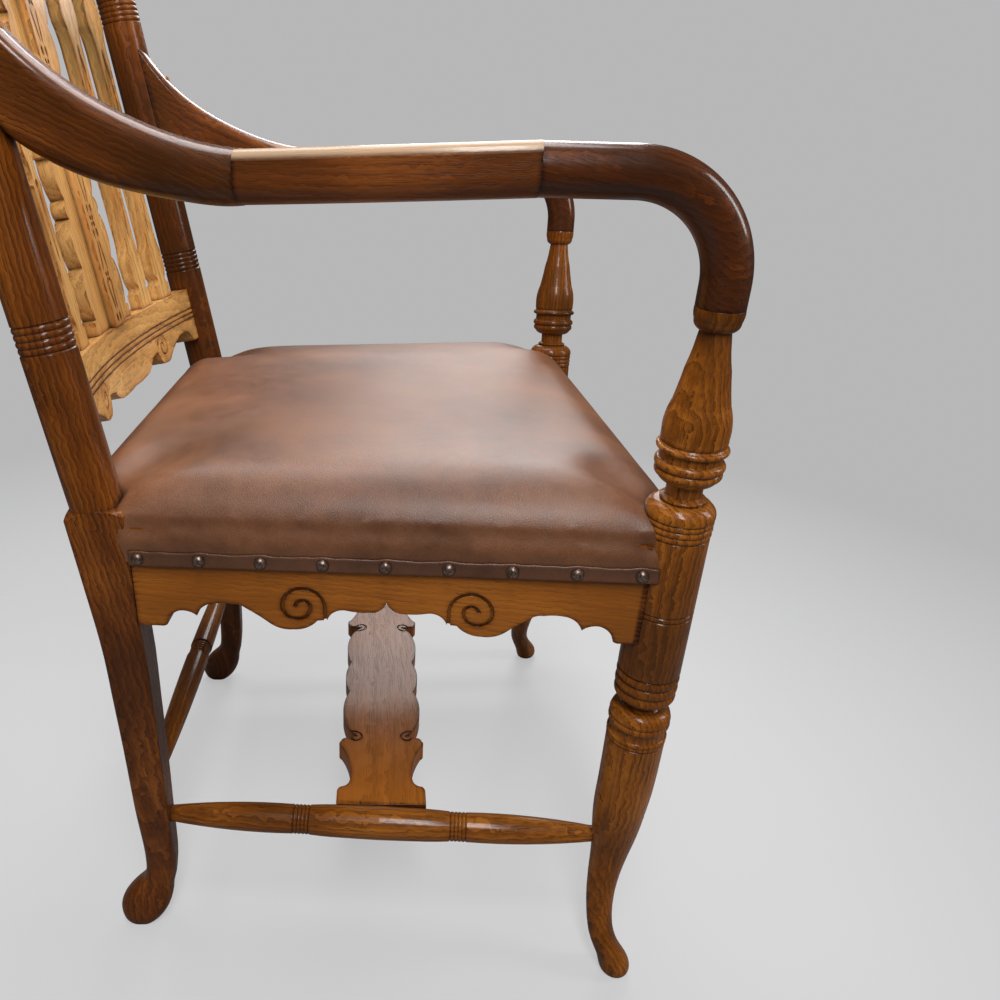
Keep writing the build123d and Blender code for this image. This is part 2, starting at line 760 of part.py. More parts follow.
with BuildPart() as rear_post_left:
    rear_post_solid()
    side_tenon(1, joint_clearance, Mode.SUBTRACT)
    rear_tenon(joint_clearance, Mode.SUBTRACT)
    stretcher_sockets()
    for side in (-1, 1):
        back_tenon(side, joint_clearance, Mode.SUBTRACT)
    dowels(dowel_lines, joint_clearance, Mode.SUBTRACT)
keep(rear_post_left, "rear_post_left")

with BuildPart() as rear_post_right:
    mirror(rear_post_left.part, about=Plane.YZ)
keep(rear_post_right, "rear_post_right")


# Seat rails
side_rail_rise = rail_rise + webbing_thickness + soft_clearance
skin = leather + soft_clearance


def nail_places(count):
    return [((index - (count - 1) / 2) * nail_pitch, 0) for index in range(count)]


def nail_holes(face, count):
    with BuildSketch(face.offset(skin + band_thickness + leather)) as holes:
        with Locations(*nail_places(count)):
            Circle(nail_shank_radius + joint_clearance)
    extrude(holes.sketch, amount=-(nail_shank_length + 2 * leather), mode=Mode.SUBTRACT)


def seat_corner(front, inset, height=0.0):
    # Where lines inside the side rail's outer face and the front or rear face cross, on the left
    side = height * tan(radians(side_rail_lean)) - inset
    rear_y = rear_rail_face_y + height * tan(radians(rear_rail_lean)) - inset
    y = front_rail_face_y + inset if front else rear_y
    return Vector(side_rail_mid_x + (side - y * sin(side_turn)) / cos(side_turn), y, 0)


def screw_lines(front):
    # From the open side of a corner block square into the side rail and the end rail
    corner = seat_corner(front, rail_thickness)
    inward = 1 if front else -1
    along_side = Vector(-sin(side_turn) * inward, cos(side_turn) * inward, 0)
    out_side = Vector(cos(side_turn), sin(side_turn), 0)
    along_end = Vector(-1, 0, 0)
    out_end = Vector(0, -inward, 0)
    lines = []
    for along, out in ((along_side, out_side), (along_end, out_end)):
        face = corner + along * screw_place
        lines.append((seat_point(face.X, face.Y),
            seat_plane(0).from_local_coords(face + out) - seat_point(face.X, face.Y)))
    return lines


def screw_holes(front):
    for face, out in screw_lines(front):
        rod(face - out * block_leg, face - out * screw_head_depth, screw_head_radius + joint_clearance,
            Mode.SUBTRACT)
        rod(face - out * block_leg, face + out * (screw_bite + joint_clearance),
            screw_radius + joint_clearance, Mode.SUBTRACT)


with BuildPart() as side_rail_left:
    shaped_rail(side_face, side_rail_half, side_rail_half + arm_cope, side_rail_rise)
    split(bisect_by=Plane(origin=(0, rear_block_front_y - joint_clearance, 0), z_dir=(0, 1, 0)),
        keep=Keep.BOTTOM)
    front_leg_room(joint_clearance)
    for end in (-1, 1):
        side_tenon(end, 0.0, Mode.ADD)
        centre = (end * scroll_place, scroll_rise)
        scroll(side_face, centre, scroll_radius, -end, groove_width, groove_depth, scroll_tail)
    nail_holes(side_face, side_nails)
    for front in (True, False):
        screw_holes(front)
keep(side_rail_left, "side_rail_left")

with BuildPart() as side_rail_right:
    mirror(side_rail_left.part, about=Plane.YZ)
keep(side_rail_right, "side_rail_right")

with BuildPart() as front_rail:
    shaped_rail(front_face, front_rail_half, front_rail_half + arm_cope, rail_rise)
    front_leg_room(joint_clearance)
    front_tenon(0.0, Mode.ADD)
    screw_holes(True)
    split(bisect_by=Plane.YZ, keep=Keep.TOP)
    mirror(about=Plane.YZ)
    for end in (-1, 1):
        centre = (end * scroll_place, scroll_rise)
        scroll(front_face, centre, scroll_radius, -end, groove_width, groove_depth, scroll_tail)
    nail_holes(front_face, front_nails)
keep(front_rail, "front_rail")

with BuildPart() as rear_rail:
    with BuildSketch(rear_face) as profile:
        with Locations((0, (rail_rise + tenon_shoulder - rear_rail_drop) / 2)):
            Rectangle(2 * (rear_rail_half + arm_cope), rail_rise + tenon_shoulder + rear_rail_drop)
    extrude(amount=-rail_thickness)
    split(bisect_by=seat_plane(rail_rise), keep=Keep.BOTTOM)
    rear_block(joint_clearance)
    rear_tenon(0.0, Mode.ADD)
    screw_holes(False)
    split(bisect_by=Plane.YZ, keep=Keep.TOP)
    mirror(about=Plane.YZ)
    nail_holes(rear_face, rear_nails)
keep(rear_rail, "rear_rail")


# Underframe
side_end_share = stretcher_end_radius / stretcher_radius
rear_end_share = stretcher_end_radius / rear_stretcher_radius
side_stretcher_shares = (
    [(0.0, side_end_share, 0), (0.030, side_end_share, 0), (0.306, 0.867, 0.02), (0.308, 0.80, 0)]
    + beads(0.308, 0.342, 4, 0.80, 0.30)
    + [(0.344, 0.88, 0), (0.42, 0.97, 0.01), (0.50, 1.0, 0), (0.58, 0.97, 0), (0.656, 0.88, 0.01),
        (0.658, 0.80, 0)]
    + beads(0.658, 0.692, 4, 0.80, 0.30)
    + [(0.694, 0.867, 0), (0.970, side_end_share, 0.02), (1.0, side_end_share, 0)]
)
rear_stretcher_shares = (
    [(0.0, rear_end_share, 0), (0.030, rear_end_share, 0), (0.470, 0.96, 0.006), (0.472, 0.78, 0)]
    + beads(0.472, 0.528, 5, 0.78, 0.25)
    + [(0.530, 0.96, 0), (0.970, rear_end_share, 0.006), (1.0, rear_end_share, 0)]
)
# A quarter of the board's edge, from its end to its middle
board_shares = (
    (1.0, -1.0, 0), (1.0, -0.915, 0), (0.93, -0.885, -0.1), (0.74, -0.855, 0.15), (0.715, -0.804, 0.05),
    (0.96, -0.600, 0.06), (0.985, -0.560, -0.25), (0.86, -0.535, -0.20), (0.645, -0.523, 0),
    (0.70, -0.500, 0.2),
    (0.835, -0.459, 0), (0.845, -0.140, -0.09), (0.976, 0.0, -0.05),
)


def board_end_tenon(extra, mode):
    middle = Vector(board_half_length - stretcher_radius, 0, board_top_height - board_thickness / 2)
    plane = Plane(origin=middle, x_dir=(0, 1, 0), z_dir=(1, 0, 0))
    width = board_tenon_width + 2 * extra
    bar(plane, width, board_thickness / 2 + 2 * extra, board_tenon + stretcher_radius / 2 + extra, mode)


with BuildPart() as side_stretcher_left:
    turn(*side_stretcher_ends, stretcher_radius, side_stretcher_shares)
    board_end_tenon(joint_clearance, Mode.SUBTRACT)
keep(side_stretcher_left, "side_stretcher_left")

with BuildPart() as side_stretcher_right:
    mirror(side_stretcher_left.part, about=Plane.YZ)
keep(side_stretcher_right, "side_stretcher_right")

with BuildPart() as rear_stretcher:
    turn(*rear_stretcher_ends, rear_stretcher_radius, rear_stretcher_shares)
keep(rear_stretcher, "rear_stretcher")

with BuildPart() as cross_stretcher:
    with BuildSketch(Plane(origin=(0, 0, board_top_height), x_dir=(0, 1, 0), z_dir=(0, 0, 1))):
        closed_outline(board_shares, board_half_width, board_half_length)
    extrude(amount=-board_thickness)
    rod(*side_stretcher_ends, stretcher_radius + joint_clearance, Mode.SUBTRACT)
    board_end_tenon(0.0, Mode.ADD)
    board_top = Plane(origin=(0, 0, board_top_height), x_dir=(0, 1, 0), z_dir=(0, 0, 1))
    for side in (-1, 1):
        centre = (side * board_scroll_y, -board_scroll_x)
        scroll(board_top, centre, board_scroll_radius, side, fine_share * groove_width,
            fine_share * groove_depth)
    split(bisect_by=Plane.YZ, keep=Keep.TOP)
    mirror(about=Plane.YZ)
keep(cross_stretcher, "cross_stretcher")


# Arms
def pad_section(plane):
    with BuildSketch(plane) as section:
        Rectangle(pad_width, pad_depth)
        fillet(section.vertices().group_by(Axis.Y)[-1], radius=pad_top_round)
        fillet(section.vertices().group_by(Axis.Y)[0], radius=pad_under_round)
    return section.sketch.faces()[0]


# Rows from the pad to the post: shares of the way back, of the rise and of the way in,
# then the size up, the size across and how round the corners are
arm_rear_shares = (
    (0.0, 0.0, 0.0, 0.375, 0.93, 0.97), (0.21, 0.040, 0.23, 0.430, 0.93, 0.96),
    (0.40, 0.135, 0.474, 0.505, 0.92, 0.92),
    (0.57, 0.262, 0.69, 0.595, 0.90, 0.86), (0.72, 0.423, 0.86, 0.695, 0.86, 0.80),
    (0.855, 0.631, 0.96, 0.830, 0.80, 0.74),
    (1.0, 1.0, 1.0, 1.0, 0.74, 0.70),
)

with BuildPart() as arm_rear_left:
    sections = []
    for back, rise, inward, up, wide, corner in arm_rear_shares:
        x = pad_rear.X + inward * (arm_end.X - pad_rear.X)
        y = pad_rear.Y + back * (arm_end.Y - pad_rear.Y)
        z = pad_rear.Z + rise * (arm_end.Z - pad_rear.Z)
        facing = Vector(-pad_rear_turn * (1 - back), 1 - back + back * back_rear.Y, back * back_rear.Z)
        level = Vector(facing.Y, -facing.X, 0).normalized()
        with BuildSketch(Plane(origin=(x, y, z), x_dir=level, z_dir=facing)) as section:
            width = wide * pad_width
            height = up * arm_end_depth
            RectangleRounded(width, height, corner * min(width, height) / 2)
        sections.append(section.sketch.faces()[0])
    loft(sections)
    post_room()
    dowels(dowel_lines, joint_clearance, Mode.SUBTRACT)
keep(arm_rear_left, "arm_rear_left")

with BuildPart() as arm_pad_left:
    loft([pad_section(pad_rear_plane), pad_section(across(pad_mid, pad_front)),
        pad_section(pad_front_plane)])
    dowels(dowel_lines, joint_clearance, Mode.SUBTRACT)
keep(arm_pad_left, "arm_pad_left")

with BuildPart() as arm_front_left:
    with BuildLine() as arm_path:
        FilletPolyline(pad_front, arm_corner, arm_joint, radius=arm_bend_radius)
    with BuildSketch(pad_front_plane):
        Circle(arm_radius)
    sweep(path=arm_path.line)
    dowels(dowel_lines, joint_clearance, Mode.SUBTRACT)
keep(arm_front_left, "arm_front_left")

for name, left in (("arm_rear_right", arm_rear_left), ("arm_pad_right", arm_pad_left),
        ("arm_front_right", arm_front_left)):
    with BuildPart() as right_arm:
        mirror(left.part, about=Plane.YZ)
    keep(right_arm, name)

with BuildPart() as arm_dowels:
    dowels(dowel_lines, 0.0, Mode.ADD)
    mirror(about=Plane.YZ)
keep(arm_dowels, "arm_dowels")


# Back
# A quarter of a slat's edge and of the splat's edge, from the lower end to the middle
slat_shares = (
    (0.97, -1.0, 0), (0.97, -0.907, 0), (0.70, -0.900, 0), (0.70, -0.862, 0.2), (0.82, -0.845, 0),
    (1.0, -0.770, -0.1),
    (1.0, -0.690, -0.05), (0.70, -0.500, 0.06), (0.66, -0.340, 0), (0.72, -0.200, 0), (0.86, -0.185, 0),
    (0.80, -0.050, 0.22), (0.90, -0.035, 0), (0.90, 0.0, 0),
)
slat_hole_shares = ((0.0, -0.567, 0), (0.24, -0.205, -0.03), (0.0, -0.158, -0.30))
splat_shares = (
    (0.99, -1.0, 0), (0.99, -0.925, 0), (0.87, -0.915, 0), (0.87, -0.645, -0.14), (0.80, -0.630, 0),
    (0.82, -0.385, -0.16),
    (0.74, -0.370, 0), (0.76, -0.285, -0.30), (0.70, -0.270, 0), (0.84, -0.060, -0.14),
    (0.93, -0.050, 0), (0.93, 0.0, 0),
)
# Carving on the splat's strip, as shares of the opening's half height
flower_shares = (-0.405, 0.405)
cross_shares = (-0.72, -0.405, 0.0, 0.405, 0.72)
# Each lancet's place, and whether it points up or down
lancet_rows = ((-0.82, -1), (-0.597, 1), (-0.22, -1), (0.22, 1), (0.597, -1), (0.82, 1))
end_leaf_share = 0.955
leaf_sides = [(x, y) for x in (-1, 1) for y in (-1, 1)]

for name, side, depth in (("lower_back_rail", -1, back_rail_depth), ("crest_rail", 1, crest_depth)):
    with BuildPart() as back_rail:
        back_rail_solid(side, depth)
        slat_mortises(side, joint_clearance)
        post_room()
        back_tenon(side, 0.0, Mode.ADD)
        split(bisect_by=Plane.YZ, keep=Keep.TOP)
        mirror(about=Plane.YZ)
        for end in (-1, 1):
            turned, rear = bow_place(end * back_scroll_place, back_radius)
            face = back_view(end * back_scroll_place, rear,
                side * (back_opening_half + depth - back_scroll_drop), turned)
            scroll(face, (0, 0), back_scroll_radius, end * side, fine_share * groove_width,
                fine_share * groove_depth)
    keep(back_rail, name)

for index, place in enumerate(slat_places):
    with BuildPart() as slat:
        turned, rear = bow_place(place, back_radius + back_rail_thickness / 2)
        with BuildSketch(back_view(place, rear, 0.0, turned)) as outline:
            closed_outline(slat_shares, slat_half_width, back_opening_half - joint_clearance)
            for up in (-1, 1):
                with BuildLine():
                    half = [(row[0], up * row[1], up * row[2]) for row in slat_hole_shares]
                    other = [(-row[0], row[1], -row[2]) for row in half]
                    draw_outline(half, slat_half_width, back_opening_half)
                    draw_outline(other, slat_half_width, back_opening_half)
                make_face(mode=Mode.SUBTRACT)
        extrude(amount=slat_thickness / 2, both=True)
        for up in (-1, 1):
            tongue_base = up * (back_opening_half - slat_tongue)
            turned_view = back_view(place, rear, tongue_base, turned)
            tongue_plane = Plane(origin=turned_view.origin, x_dir=turned_view.x_dir, z_dir=back_up * up)
            bar(tongue_plane, 2 * slat_tongue_half, slat_tongue_thickness, 2 * slat_tongue)
    keep(slat, f"back_slat_{index + 1}")

splat_inner = back_radius + (back_rail_thickness - splat_thickness) / 2
with BuildPart() as splat:
    reach = back_opening_half - joint_clearance
    bowed_band(splat_inner, splat_thickness, splat_half_width, -reach, reach)
    with BuildSketch(back_view()) as outline:
        closed_outline(splat_shares, splat_half_width, reach)
    extrude(amount=overrun, both=True, mode=Mode.INTERSECT)
    bowed_band(splat_inner - strip_proud, strip_proud + splat_thickness / 2, strip_half_width, -reach, reach)
    tongue_inner = back_radius + (back_rail_thickness - slat_tongue_thickness) / 2
    for low, high in ((-reach - slat_tongue, back_trim - reach), (reach - back_trim, reach + slat_tongue)):
        bowed_band(tongue_inner, slat_tongue_thickness, splat_tongue_half, low, high)
    with BuildSketch(back_view()) as piercings:
        for share in cross_shares:
            with Locations((0, share * back_opening_half)):
                with PolarLocations(flower_half, 4, start_angle=45):
                    Ellipse(petal_length / 2, petal_width / 2)
        for share in flower_shares:
            leaves = [(x * leaf_side, share * back_opening_half + y * leaf_rise) for x, y in leaf_sides]
            with Locations(*leaves):
                Ellipse(leaf_width / 2, leaf_length / 2)
        end_leaves = [(x * leaf_side, y * end_leaf_share * back_opening_half) for x, y in leaf_sides]
        with Locations(*end_leaves):
            Ellipse(leaf_width / 2, leaf_length / 2)
    extrude(amount=overrun, both=True, mode=Mode.SUBTRACT)
    with BuildSketch(back_view(0.0, bow_centre + splat_inner - strip_proud)) as lancets:
        for share, point in lancet_rows:
            for side in (-1, 1):
                with Locations((side * lancet_side, share * back_opening_half)):
                    turned = side * point * lancet_lean
                    Ellipse(lancet_width / 2, lancet_length / 2, rotation=turned)
    extrude(amount=lancet_depth, both=True, mode=Mode.SUBTRACT)
keep(splat, "splat")


# Corner blocks glued inside the seat frame, each with two screws
def corner_face(front, height):
    inset = rail_thickness + joint_clearance
    corner = seat_corner(front, inset, height)
    inward = 1 if front else -1
    along_side = corner + Vector(-sin(side_turn), cos(side_turn), 0) * inward * block_leg
    along_end = corner - Vector(block_leg, 0, 0)
    with BuildSketch(seat_plane(height)) as plan:
        with BuildLine():
            Polyline(corner, along_side, along_end, close=True)
        make_face()
    return plan.sketch.faces()[0]


for name, front in (("corner_block_front_left", True), ("corner_block_rear_left", False)):
    with BuildPart() as block:
        loft([corner_face(front, height) for height in (-block_height / 2, block_height / 2)], ruled=True)
        if front:
            front_leg_room(joint_clearance)
        else:
            rear_block(joint_clearance)
        screw_holes(front)
    keep(block, name)
    with BuildPart() as other_block:
        mirror(block.part, about=Plane.YZ)
    keep(other_block, name.replace("left", "right"))

with BuildPart() as corner_screws:
    for front in (True, False):
        for face, out in screw_lines(front):
            rod(face - out * (screw_head_depth + screw_head_height), face - out * screw_head_depth,
                screw_head_radius)
            rod(face - out * (screw_head_depth + screw_head_height / 2), face + out * screw_bite,
                screw_radius)
    mirror(about=Plane.YZ)
keep(corner_screws, "corner_screws")


# Upholstery, built up in layers on the rails
def seat_face(height, outset, corner):
    front = seat_corner(True, -outset, height)
    rear = seat_corner(False, -outset, height)
    with BuildSketch(seat_plane(height)) as plan:
        with BuildLine():
            Polyline(front, rear, (-rear.X, rear.Y), (-front.X, front.Y), close=True)
        make_face()
        fillet(plan.vertices(), radius=corner)
    return plan.sketch.faces()[0]


def leg_notches(clearance):
    # Room for the front legs' domes and the rear legs' blocks, out past the seat's corners
    front_leg_room(clearance)
    block_corner = (rear_block_x - rear_block_width / 2 - clearance, rear_block_front_y - clearance)
    leg_centre = (front_axis_at(rail_mid_height).X, front_axis_at(rail_mid_height).Y)
    for corner, y_sign in ((leg_centre, -1), (block_corner, 1)):
        middle = (corner[0] + overrun / 2, corner[1] + y_sign * overrun / 2)
        with BuildSketch(Plane(origin=(*middle, rail_mid_height - overrun), z_dir=(0, 0, 1))) as notch:
            Rectangle(overrun, overrun)
        extrude(notch.sketch, amount=3 * overrun, mode=Mode.SUBTRACT)


# The cushion's shape above the rails: shares of the crown, of the rounding and of the corners
crown_shares = (
    (0.0, 0.0, 0.20), (0.20, 0.014, 0.24), (0.465, 0.003, 0.30), (0.64, -0.038, 0.40), (0.79, -0.125, 0.55),
    (0.90, -0.33, 0.75), (0.97, -0.65, 0.95), (1.0, -1.0, 1.0),
)


def crowned(base, crown, outset, shares, mode=Mode.ADD):
    sections = []
    for up, out, corner in shares:
        sections.append(seat_face(base + up * crown, outset + out * seat_rounding, corner * seat_top_corner))
    loft(sections, ruled=True, mode=mode)


crosswise_height = rail_rise + webbing_thickness + soft_clearance + joint_clearance
hessian_height = crosswise_height + webbing_thickness + soft_clearance
stuffing_height = hessian_height + hessian_thickness + soft_clearance
webbing_places = [(index - (webbing_count - 1) / 2) * webbing_pitch for index in range(webbing_count)]

with BuildPart() as webbing_lengthwise:
    front_end = front_rail_face_y + hessian_inset
    rear_end = rear_rail_face_y - hessian_inset
    with BuildSketch(seat_plane(rail_rise + joint_clearance)):
        with Locations(*[(place, (front_end + rear_end) / 2) for place in webbing_places]):
            Rectangle(webbing_width, rear_end - front_end)
    extrude(amount=webbing_thickness)
keep(webbing_lengthwise, "webbing_lengthwise")

with BuildPart() as webbing_crosswise:
    with BuildSketch(seat_plane(crosswise_height)):
        for place in webbing_places:
            half = side_rail_mid_x - hessian_inset - (place + webbing_width / 2) * tan(side_turn)
            with Locations((0, place)):
                Rectangle(2 * half, webbing_width)
    extrude(amount=webbing_thickness)
keep(webbing_crosswise, "webbing_crosswise")

with BuildPart() as hessian:
    extrude(seat_face(hessian_height, -hessian_inset, seat_top_corner / 4), amount=hessian_thickness)
    leg_notches(leather)
    split(bisect_by=Plane.YZ, keep=Keep.TOP)
    mirror(about=Plane.YZ)
keep(hessian, "hessian")

with BuildPart() as seat_stuffing:
    crown = seat_crown - skin
    low = (stuffing_height - rail_rise) / crown
    base_row = (low, -hessian_inset / seat_rounding, crown_shares[0][2])
    crowned(rail_rise, crown, -soft_clearance, [base_row] + list(crown_shares[2:]))
    leg_notches(leather + soft_clearance)
    split(bisect_by=Plane.YZ, keep=Keep.TOP)
    mirror(about=Plane.YZ)
keep(seat_stuffing, "seat_stuffing")

with BuildPart() as seat_cover:
    corner = crown_shares[0][2] * seat_top_corner
    loft([seat_face(height, skin, corner) for height in (-leather_skirt, rail_rise)], ruled=True)
    crowned(rail_rise, seat_crown, skin, crown_shares)
    inner = [(height, soft_clearance, corner) for height in (-leather_skirt - leather, rail_rise)]
    loft([seat_face(*row) for row in inner], ruled=True, mode=Mode.SUBTRACT)
    crowned(rail_rise, seat_crown - leather, soft_clearance, crown_shares, Mode.SUBTRACT)
    leg_notches(soft_clearance)
    split(bisect_by=Plane.YZ, keep=Keep.TOP)
    mirror(about=Plane.YZ)
    for face, count in ((side_face, side_nails), (front_face, front_nails), (rear_face, rear_nails)):
        nail_holes(face, count)
    nail_holes(side_face_right, side_nails)
keep(seat_cover, "seat_cover")


def leather_band(face, half, count):
    # A strip of leather over the lower edge of the cover
    with BuildSketch(face.offset(skin + joint_clearance)) as strip:
        Rectangle(2 * half, band_width)
    extrude(strip.sketch, amount=band_thickness)
    front_leg_room(soft_clearance)
    rear_block(soft_clearance)
    nail_holes(face, count)


def nail_row(face, count):
    # Domed heads on the band, shanks through band and cover into the rail
    base = skin + joint_clearance + band_thickness + joint_clearance
    for along, rise in nail_places(count):
        centre = face.from_local_coords(Vector(along, rise, base))
        with BuildSketch(Plane(origin=centre, x_dir=face.x_dir, z_dir=face.y_dir * -1)) as half_nail:
            with BuildLine() as edge:
                ThreePointArc((0, nail_dome), (dome_out_share * nail_radius, dome_up_share * nail_dome),
                    (nail_radius, 0))
                shank = [(nail_shank_radius, 0), (nail_shank_radius, -nail_shank_length),
                    (0, -nail_shank_length)]
                Polyline((nail_radius, 0), *shank, (0, nail_dome))
            make_face(edge.edges())
        revolve(half_nail.sketch, axis=Axis(centre, face.z_dir))


for name, face, half, count in (
    ("side", side_face, side_rail_half + arm_cope, side_nails),
    ("front", front_face, front_rail_half, front_nails),
    ("rear", rear_face, rear_rail_half, rear_nails),
):
    with BuildPart() as band:
        leather_band(face, half, count)
        if name != "side":
            split(bisect_by=Plane.YZ, keep=Keep.TOP)
            mirror(about=Plane.YZ)
    with BuildPart() as nails:
        nail_row(face, count)
    if name == "side":
        keep(band, "leather_band_left")
        keep(nails, "nails_left")
        with BuildPart() as right_band:
            mirror(band.part, about=Plane.YZ)
        keep(right_band, "leather_band_right")
        with BuildPart() as right_nails:
            mirror(nails.part, about=Plane.YZ)
        keep(right_nails, "nails_right")
    else:
        keep(band, f"leather_band_{name}")
        keep(nails, f"nails_{name}")


# The finished chair stands with its origin under the middle of its box
boxes = [piece.bounding_box() for piece in finished]
middle_y = (min(box.min.Y for box in boxes) + max(box.max.Y for box in boxes)) / 2
print("middle", round(middle_y, 3))
os.makedirs("parts", exist_ok=True)
for piece in finished:
    label = piece.label
    centred = piece.moved(Location((0, -middle_y, 0)))
    centred.label = label
    export_step(centred, f"parts/{label}.step")
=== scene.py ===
"""Looks for the oak elbow chair: oak, a stuffed leather seat with its nailed band, and its webbing."""

from math import atan, cos, exp, hypot, pi, radians, sin, tan

import bmesh
import bpy
from mathutils import Matrix, Vector


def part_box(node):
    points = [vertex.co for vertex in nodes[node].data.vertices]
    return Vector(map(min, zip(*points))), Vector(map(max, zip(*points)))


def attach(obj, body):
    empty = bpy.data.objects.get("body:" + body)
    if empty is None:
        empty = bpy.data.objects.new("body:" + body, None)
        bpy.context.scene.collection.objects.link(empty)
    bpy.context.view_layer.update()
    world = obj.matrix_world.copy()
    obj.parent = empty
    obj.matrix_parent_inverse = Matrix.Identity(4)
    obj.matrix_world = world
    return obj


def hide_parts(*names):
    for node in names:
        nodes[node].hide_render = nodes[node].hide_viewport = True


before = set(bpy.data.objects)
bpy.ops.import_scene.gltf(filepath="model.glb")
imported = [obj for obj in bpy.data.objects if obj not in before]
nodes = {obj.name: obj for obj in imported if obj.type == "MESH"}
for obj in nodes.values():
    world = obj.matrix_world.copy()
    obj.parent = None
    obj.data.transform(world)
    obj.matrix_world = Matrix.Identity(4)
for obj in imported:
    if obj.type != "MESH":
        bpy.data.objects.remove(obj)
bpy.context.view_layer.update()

# The source measures Y from the middle of the side stretchers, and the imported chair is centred
shift_y = -0.056945

# Camera, worked out from the legs, rails and stretchers in the photograph
camera_place = Vector((-0.869913, 0.006179 + shift_y, 0.705961))
camera_right = Vector((-0.02667714, -0.99931836, 0.02551754))
camera_up = Vector((0.37089931, 0.01380971, 0.9285704))
camera_back = Vector((-0.92828984, 0.03423604, 0.37027808))
image_width = 1000.0
focal_pixels = 880.0
centre_column = 408.84
sensor = 36.0
near_clip = 0.01

camera_data = bpy.data.cameras.new("view")
camera_data.sensor_width = sensor
camera_data.lens = focal_pixels / image_width * sensor
camera_data.shift_x = (image_width / 2 - centre_column) / image_width
camera_data.clip_start = near_clip
camera = bpy.data.objects.new("view", camera_data)
camera_axes = [list(axis) for axis in zip(camera_right, camera_up, camera_back)]
camera.matrix_world = Matrix.Translation(camera_place) @ Matrix(camera_axes).to_4x4()
bpy.context.scene.collection.objects.link(camera)
bpy.context.scene.camera = camera


# Helpers for materials
def node(tree, kind, inputs=None, **settings):
    made = tree.nodes.new(kind)
    for name, value in settings.items():
        setattr(made, name, value)
    for name, value in (inputs or {}).items():
        socket = made.inputs[name]
        if isinstance(value, bpy.types.NodeSocket):
            tree.links.new(value, socket)
        else:
            socket.default_value = value
    return made


def math(tree, operation, first, second=0.0, clamp=False):
    made = node(tree, "ShaderNodeMath", {0: first, 1: second}, operation=operation, use_clamp=clamp)
    return made.outputs[0]


def scaled(tree, value, share):
    return math(tree, "MULTIPLY", value, share)


def total(tree, first, *others):
    for other in others:
        first = math(tree, "ADD", first, other)
    return first


def shaded(tones, share):
    """The same colour, darker or lighter, and never past white."""
    return tuple(min(1.0, share * part) for part in tones)


def vector_math(tree, operation, first, second):
    return node(tree, "ShaderNodeVectorMath", {0: first, 1: second}, operation=operation).outputs[0]


def mix(tree, factor, first, second):
    made = node(tree, "ShaderNodeMix", data_type="RGBA")
    for place, value in ((0, factor), (6, first), (7, second)):
        if isinstance(value, bpy.types.NodeSocket):
            tree.links.new(value, made.inputs[place])
        else:
            made.inputs[place].default_value = (*value, 1.0) if isinstance(value, tuple) else value
    return made.outputs[2]


def ramp(tree, factor, stops):
    made = node(tree, "ShaderNodeValToRGB", {"Fac": factor})
    elements = made.color_ramp.elements
    while len(elements) < len(stops):
        elements.new(0.5)
    for element, (place, colour) in zip(elements, stops):
        element.position = place
        value = colour if isinstance(colour, tuple) else (colour, colour, colour)
        element.color = (*value, 1.0)
    return made.outputs[0]


def noise(tree, vector, scale=1.0, detail=2.0, roughness=0.5):
    inputs = {"Vector": vector, "Scale": scale, "Detail": detail, "Roughness": roughness}
    return node(tree, "ShaderNodeTexNoise", inputs)


def stretched(tree, vector, scales):
    return vector_math(tree, "MULTIPLY", vector, scales)


def new_material(name):
    made = bpy.data.materials.new(name)
    made.use_nodes = True
    made.node_tree.nodes.clear()
    return made, made.node_tree


def finish_material(tree, colour, roughness, height, bump_distance, normal=None, **constants):
    bump = node(tree, "ShaderNodeBump", {"Height": height, "Distance": bump_distance, "Strength": 1.0})
    if normal is not None:
        tree.links.new(normal, bump.inputs["Normal"])
    inputs = {"Base Color": colour, "Roughness": roughness, "Normal": bump.outputs[0]}
    shader = node(tree, "ShaderNodeBsdfPrincipled", inputs)
    for key, value in constants.items():
        shader.inputs[key.replace("_", " ")].default_value = value
    if normal is not None and "Coat_Weight" in constants:
        tree.links.new(normal, shader.inputs["Coat Normal"])
    output = node(tree, "ShaderNodeOutputMaterial")
    tree.links.new(shader.outputs[0], output.inputs["Surface"])


# An ambient-occlusion mask for darkening hollows and places near other pieces: painted shade
def occlusion_shade(tree, reach, low, high):
    shade = node(tree, "ShaderNodeAmbientOcclusion", {"Distance": reach}, samples=6)
    return ramp(tree, shade.outputs["AO"], [(low, 1.0), (high, 0.0)])


# The oak's pattern: each scale is twice across the grain and then along it
drift_scales = (14.0, 14.0, 2.6)
drift_reach = (0.022, 0.022, 0.0)
band_scales = (70.0, 70.0, 2.2)
pore_scales = (1300.0, 1300.0, 24.0)
fibre_scales = (420.0, 420.0, 9.0)
ring_scale = 0.314
patina_scale = 7.0
hand_scale = 32.0
# How much each part of the pattern counts in the colour, the roughness and the relief
ring_share, band_share, fibre_share, patina_share = 0.17, 0.55, 0.34, 1.1
pore_dark, pore_relief, fibre_relief, hand_relief = 0.80, -0.55, 0.20, 2.2
roughness_least, fibre_roughness, pore_roughness = 0.26, 0.20, 0.20
relief_depth = 0.00028
edge_reach = 0.004
edge_radius = 0.0010
hollow_reach = 0.007
# Upward faces are lightened toward this colour, as rub wear and painted highlight
rub_and_highlight_colour = (0.62, 0.43, 0.27)
# Hollows and joins are darkened toward this colour, as staining and painted shade
hollow_stain_and_shade_colour = (0.016, 0.007, 0.003)


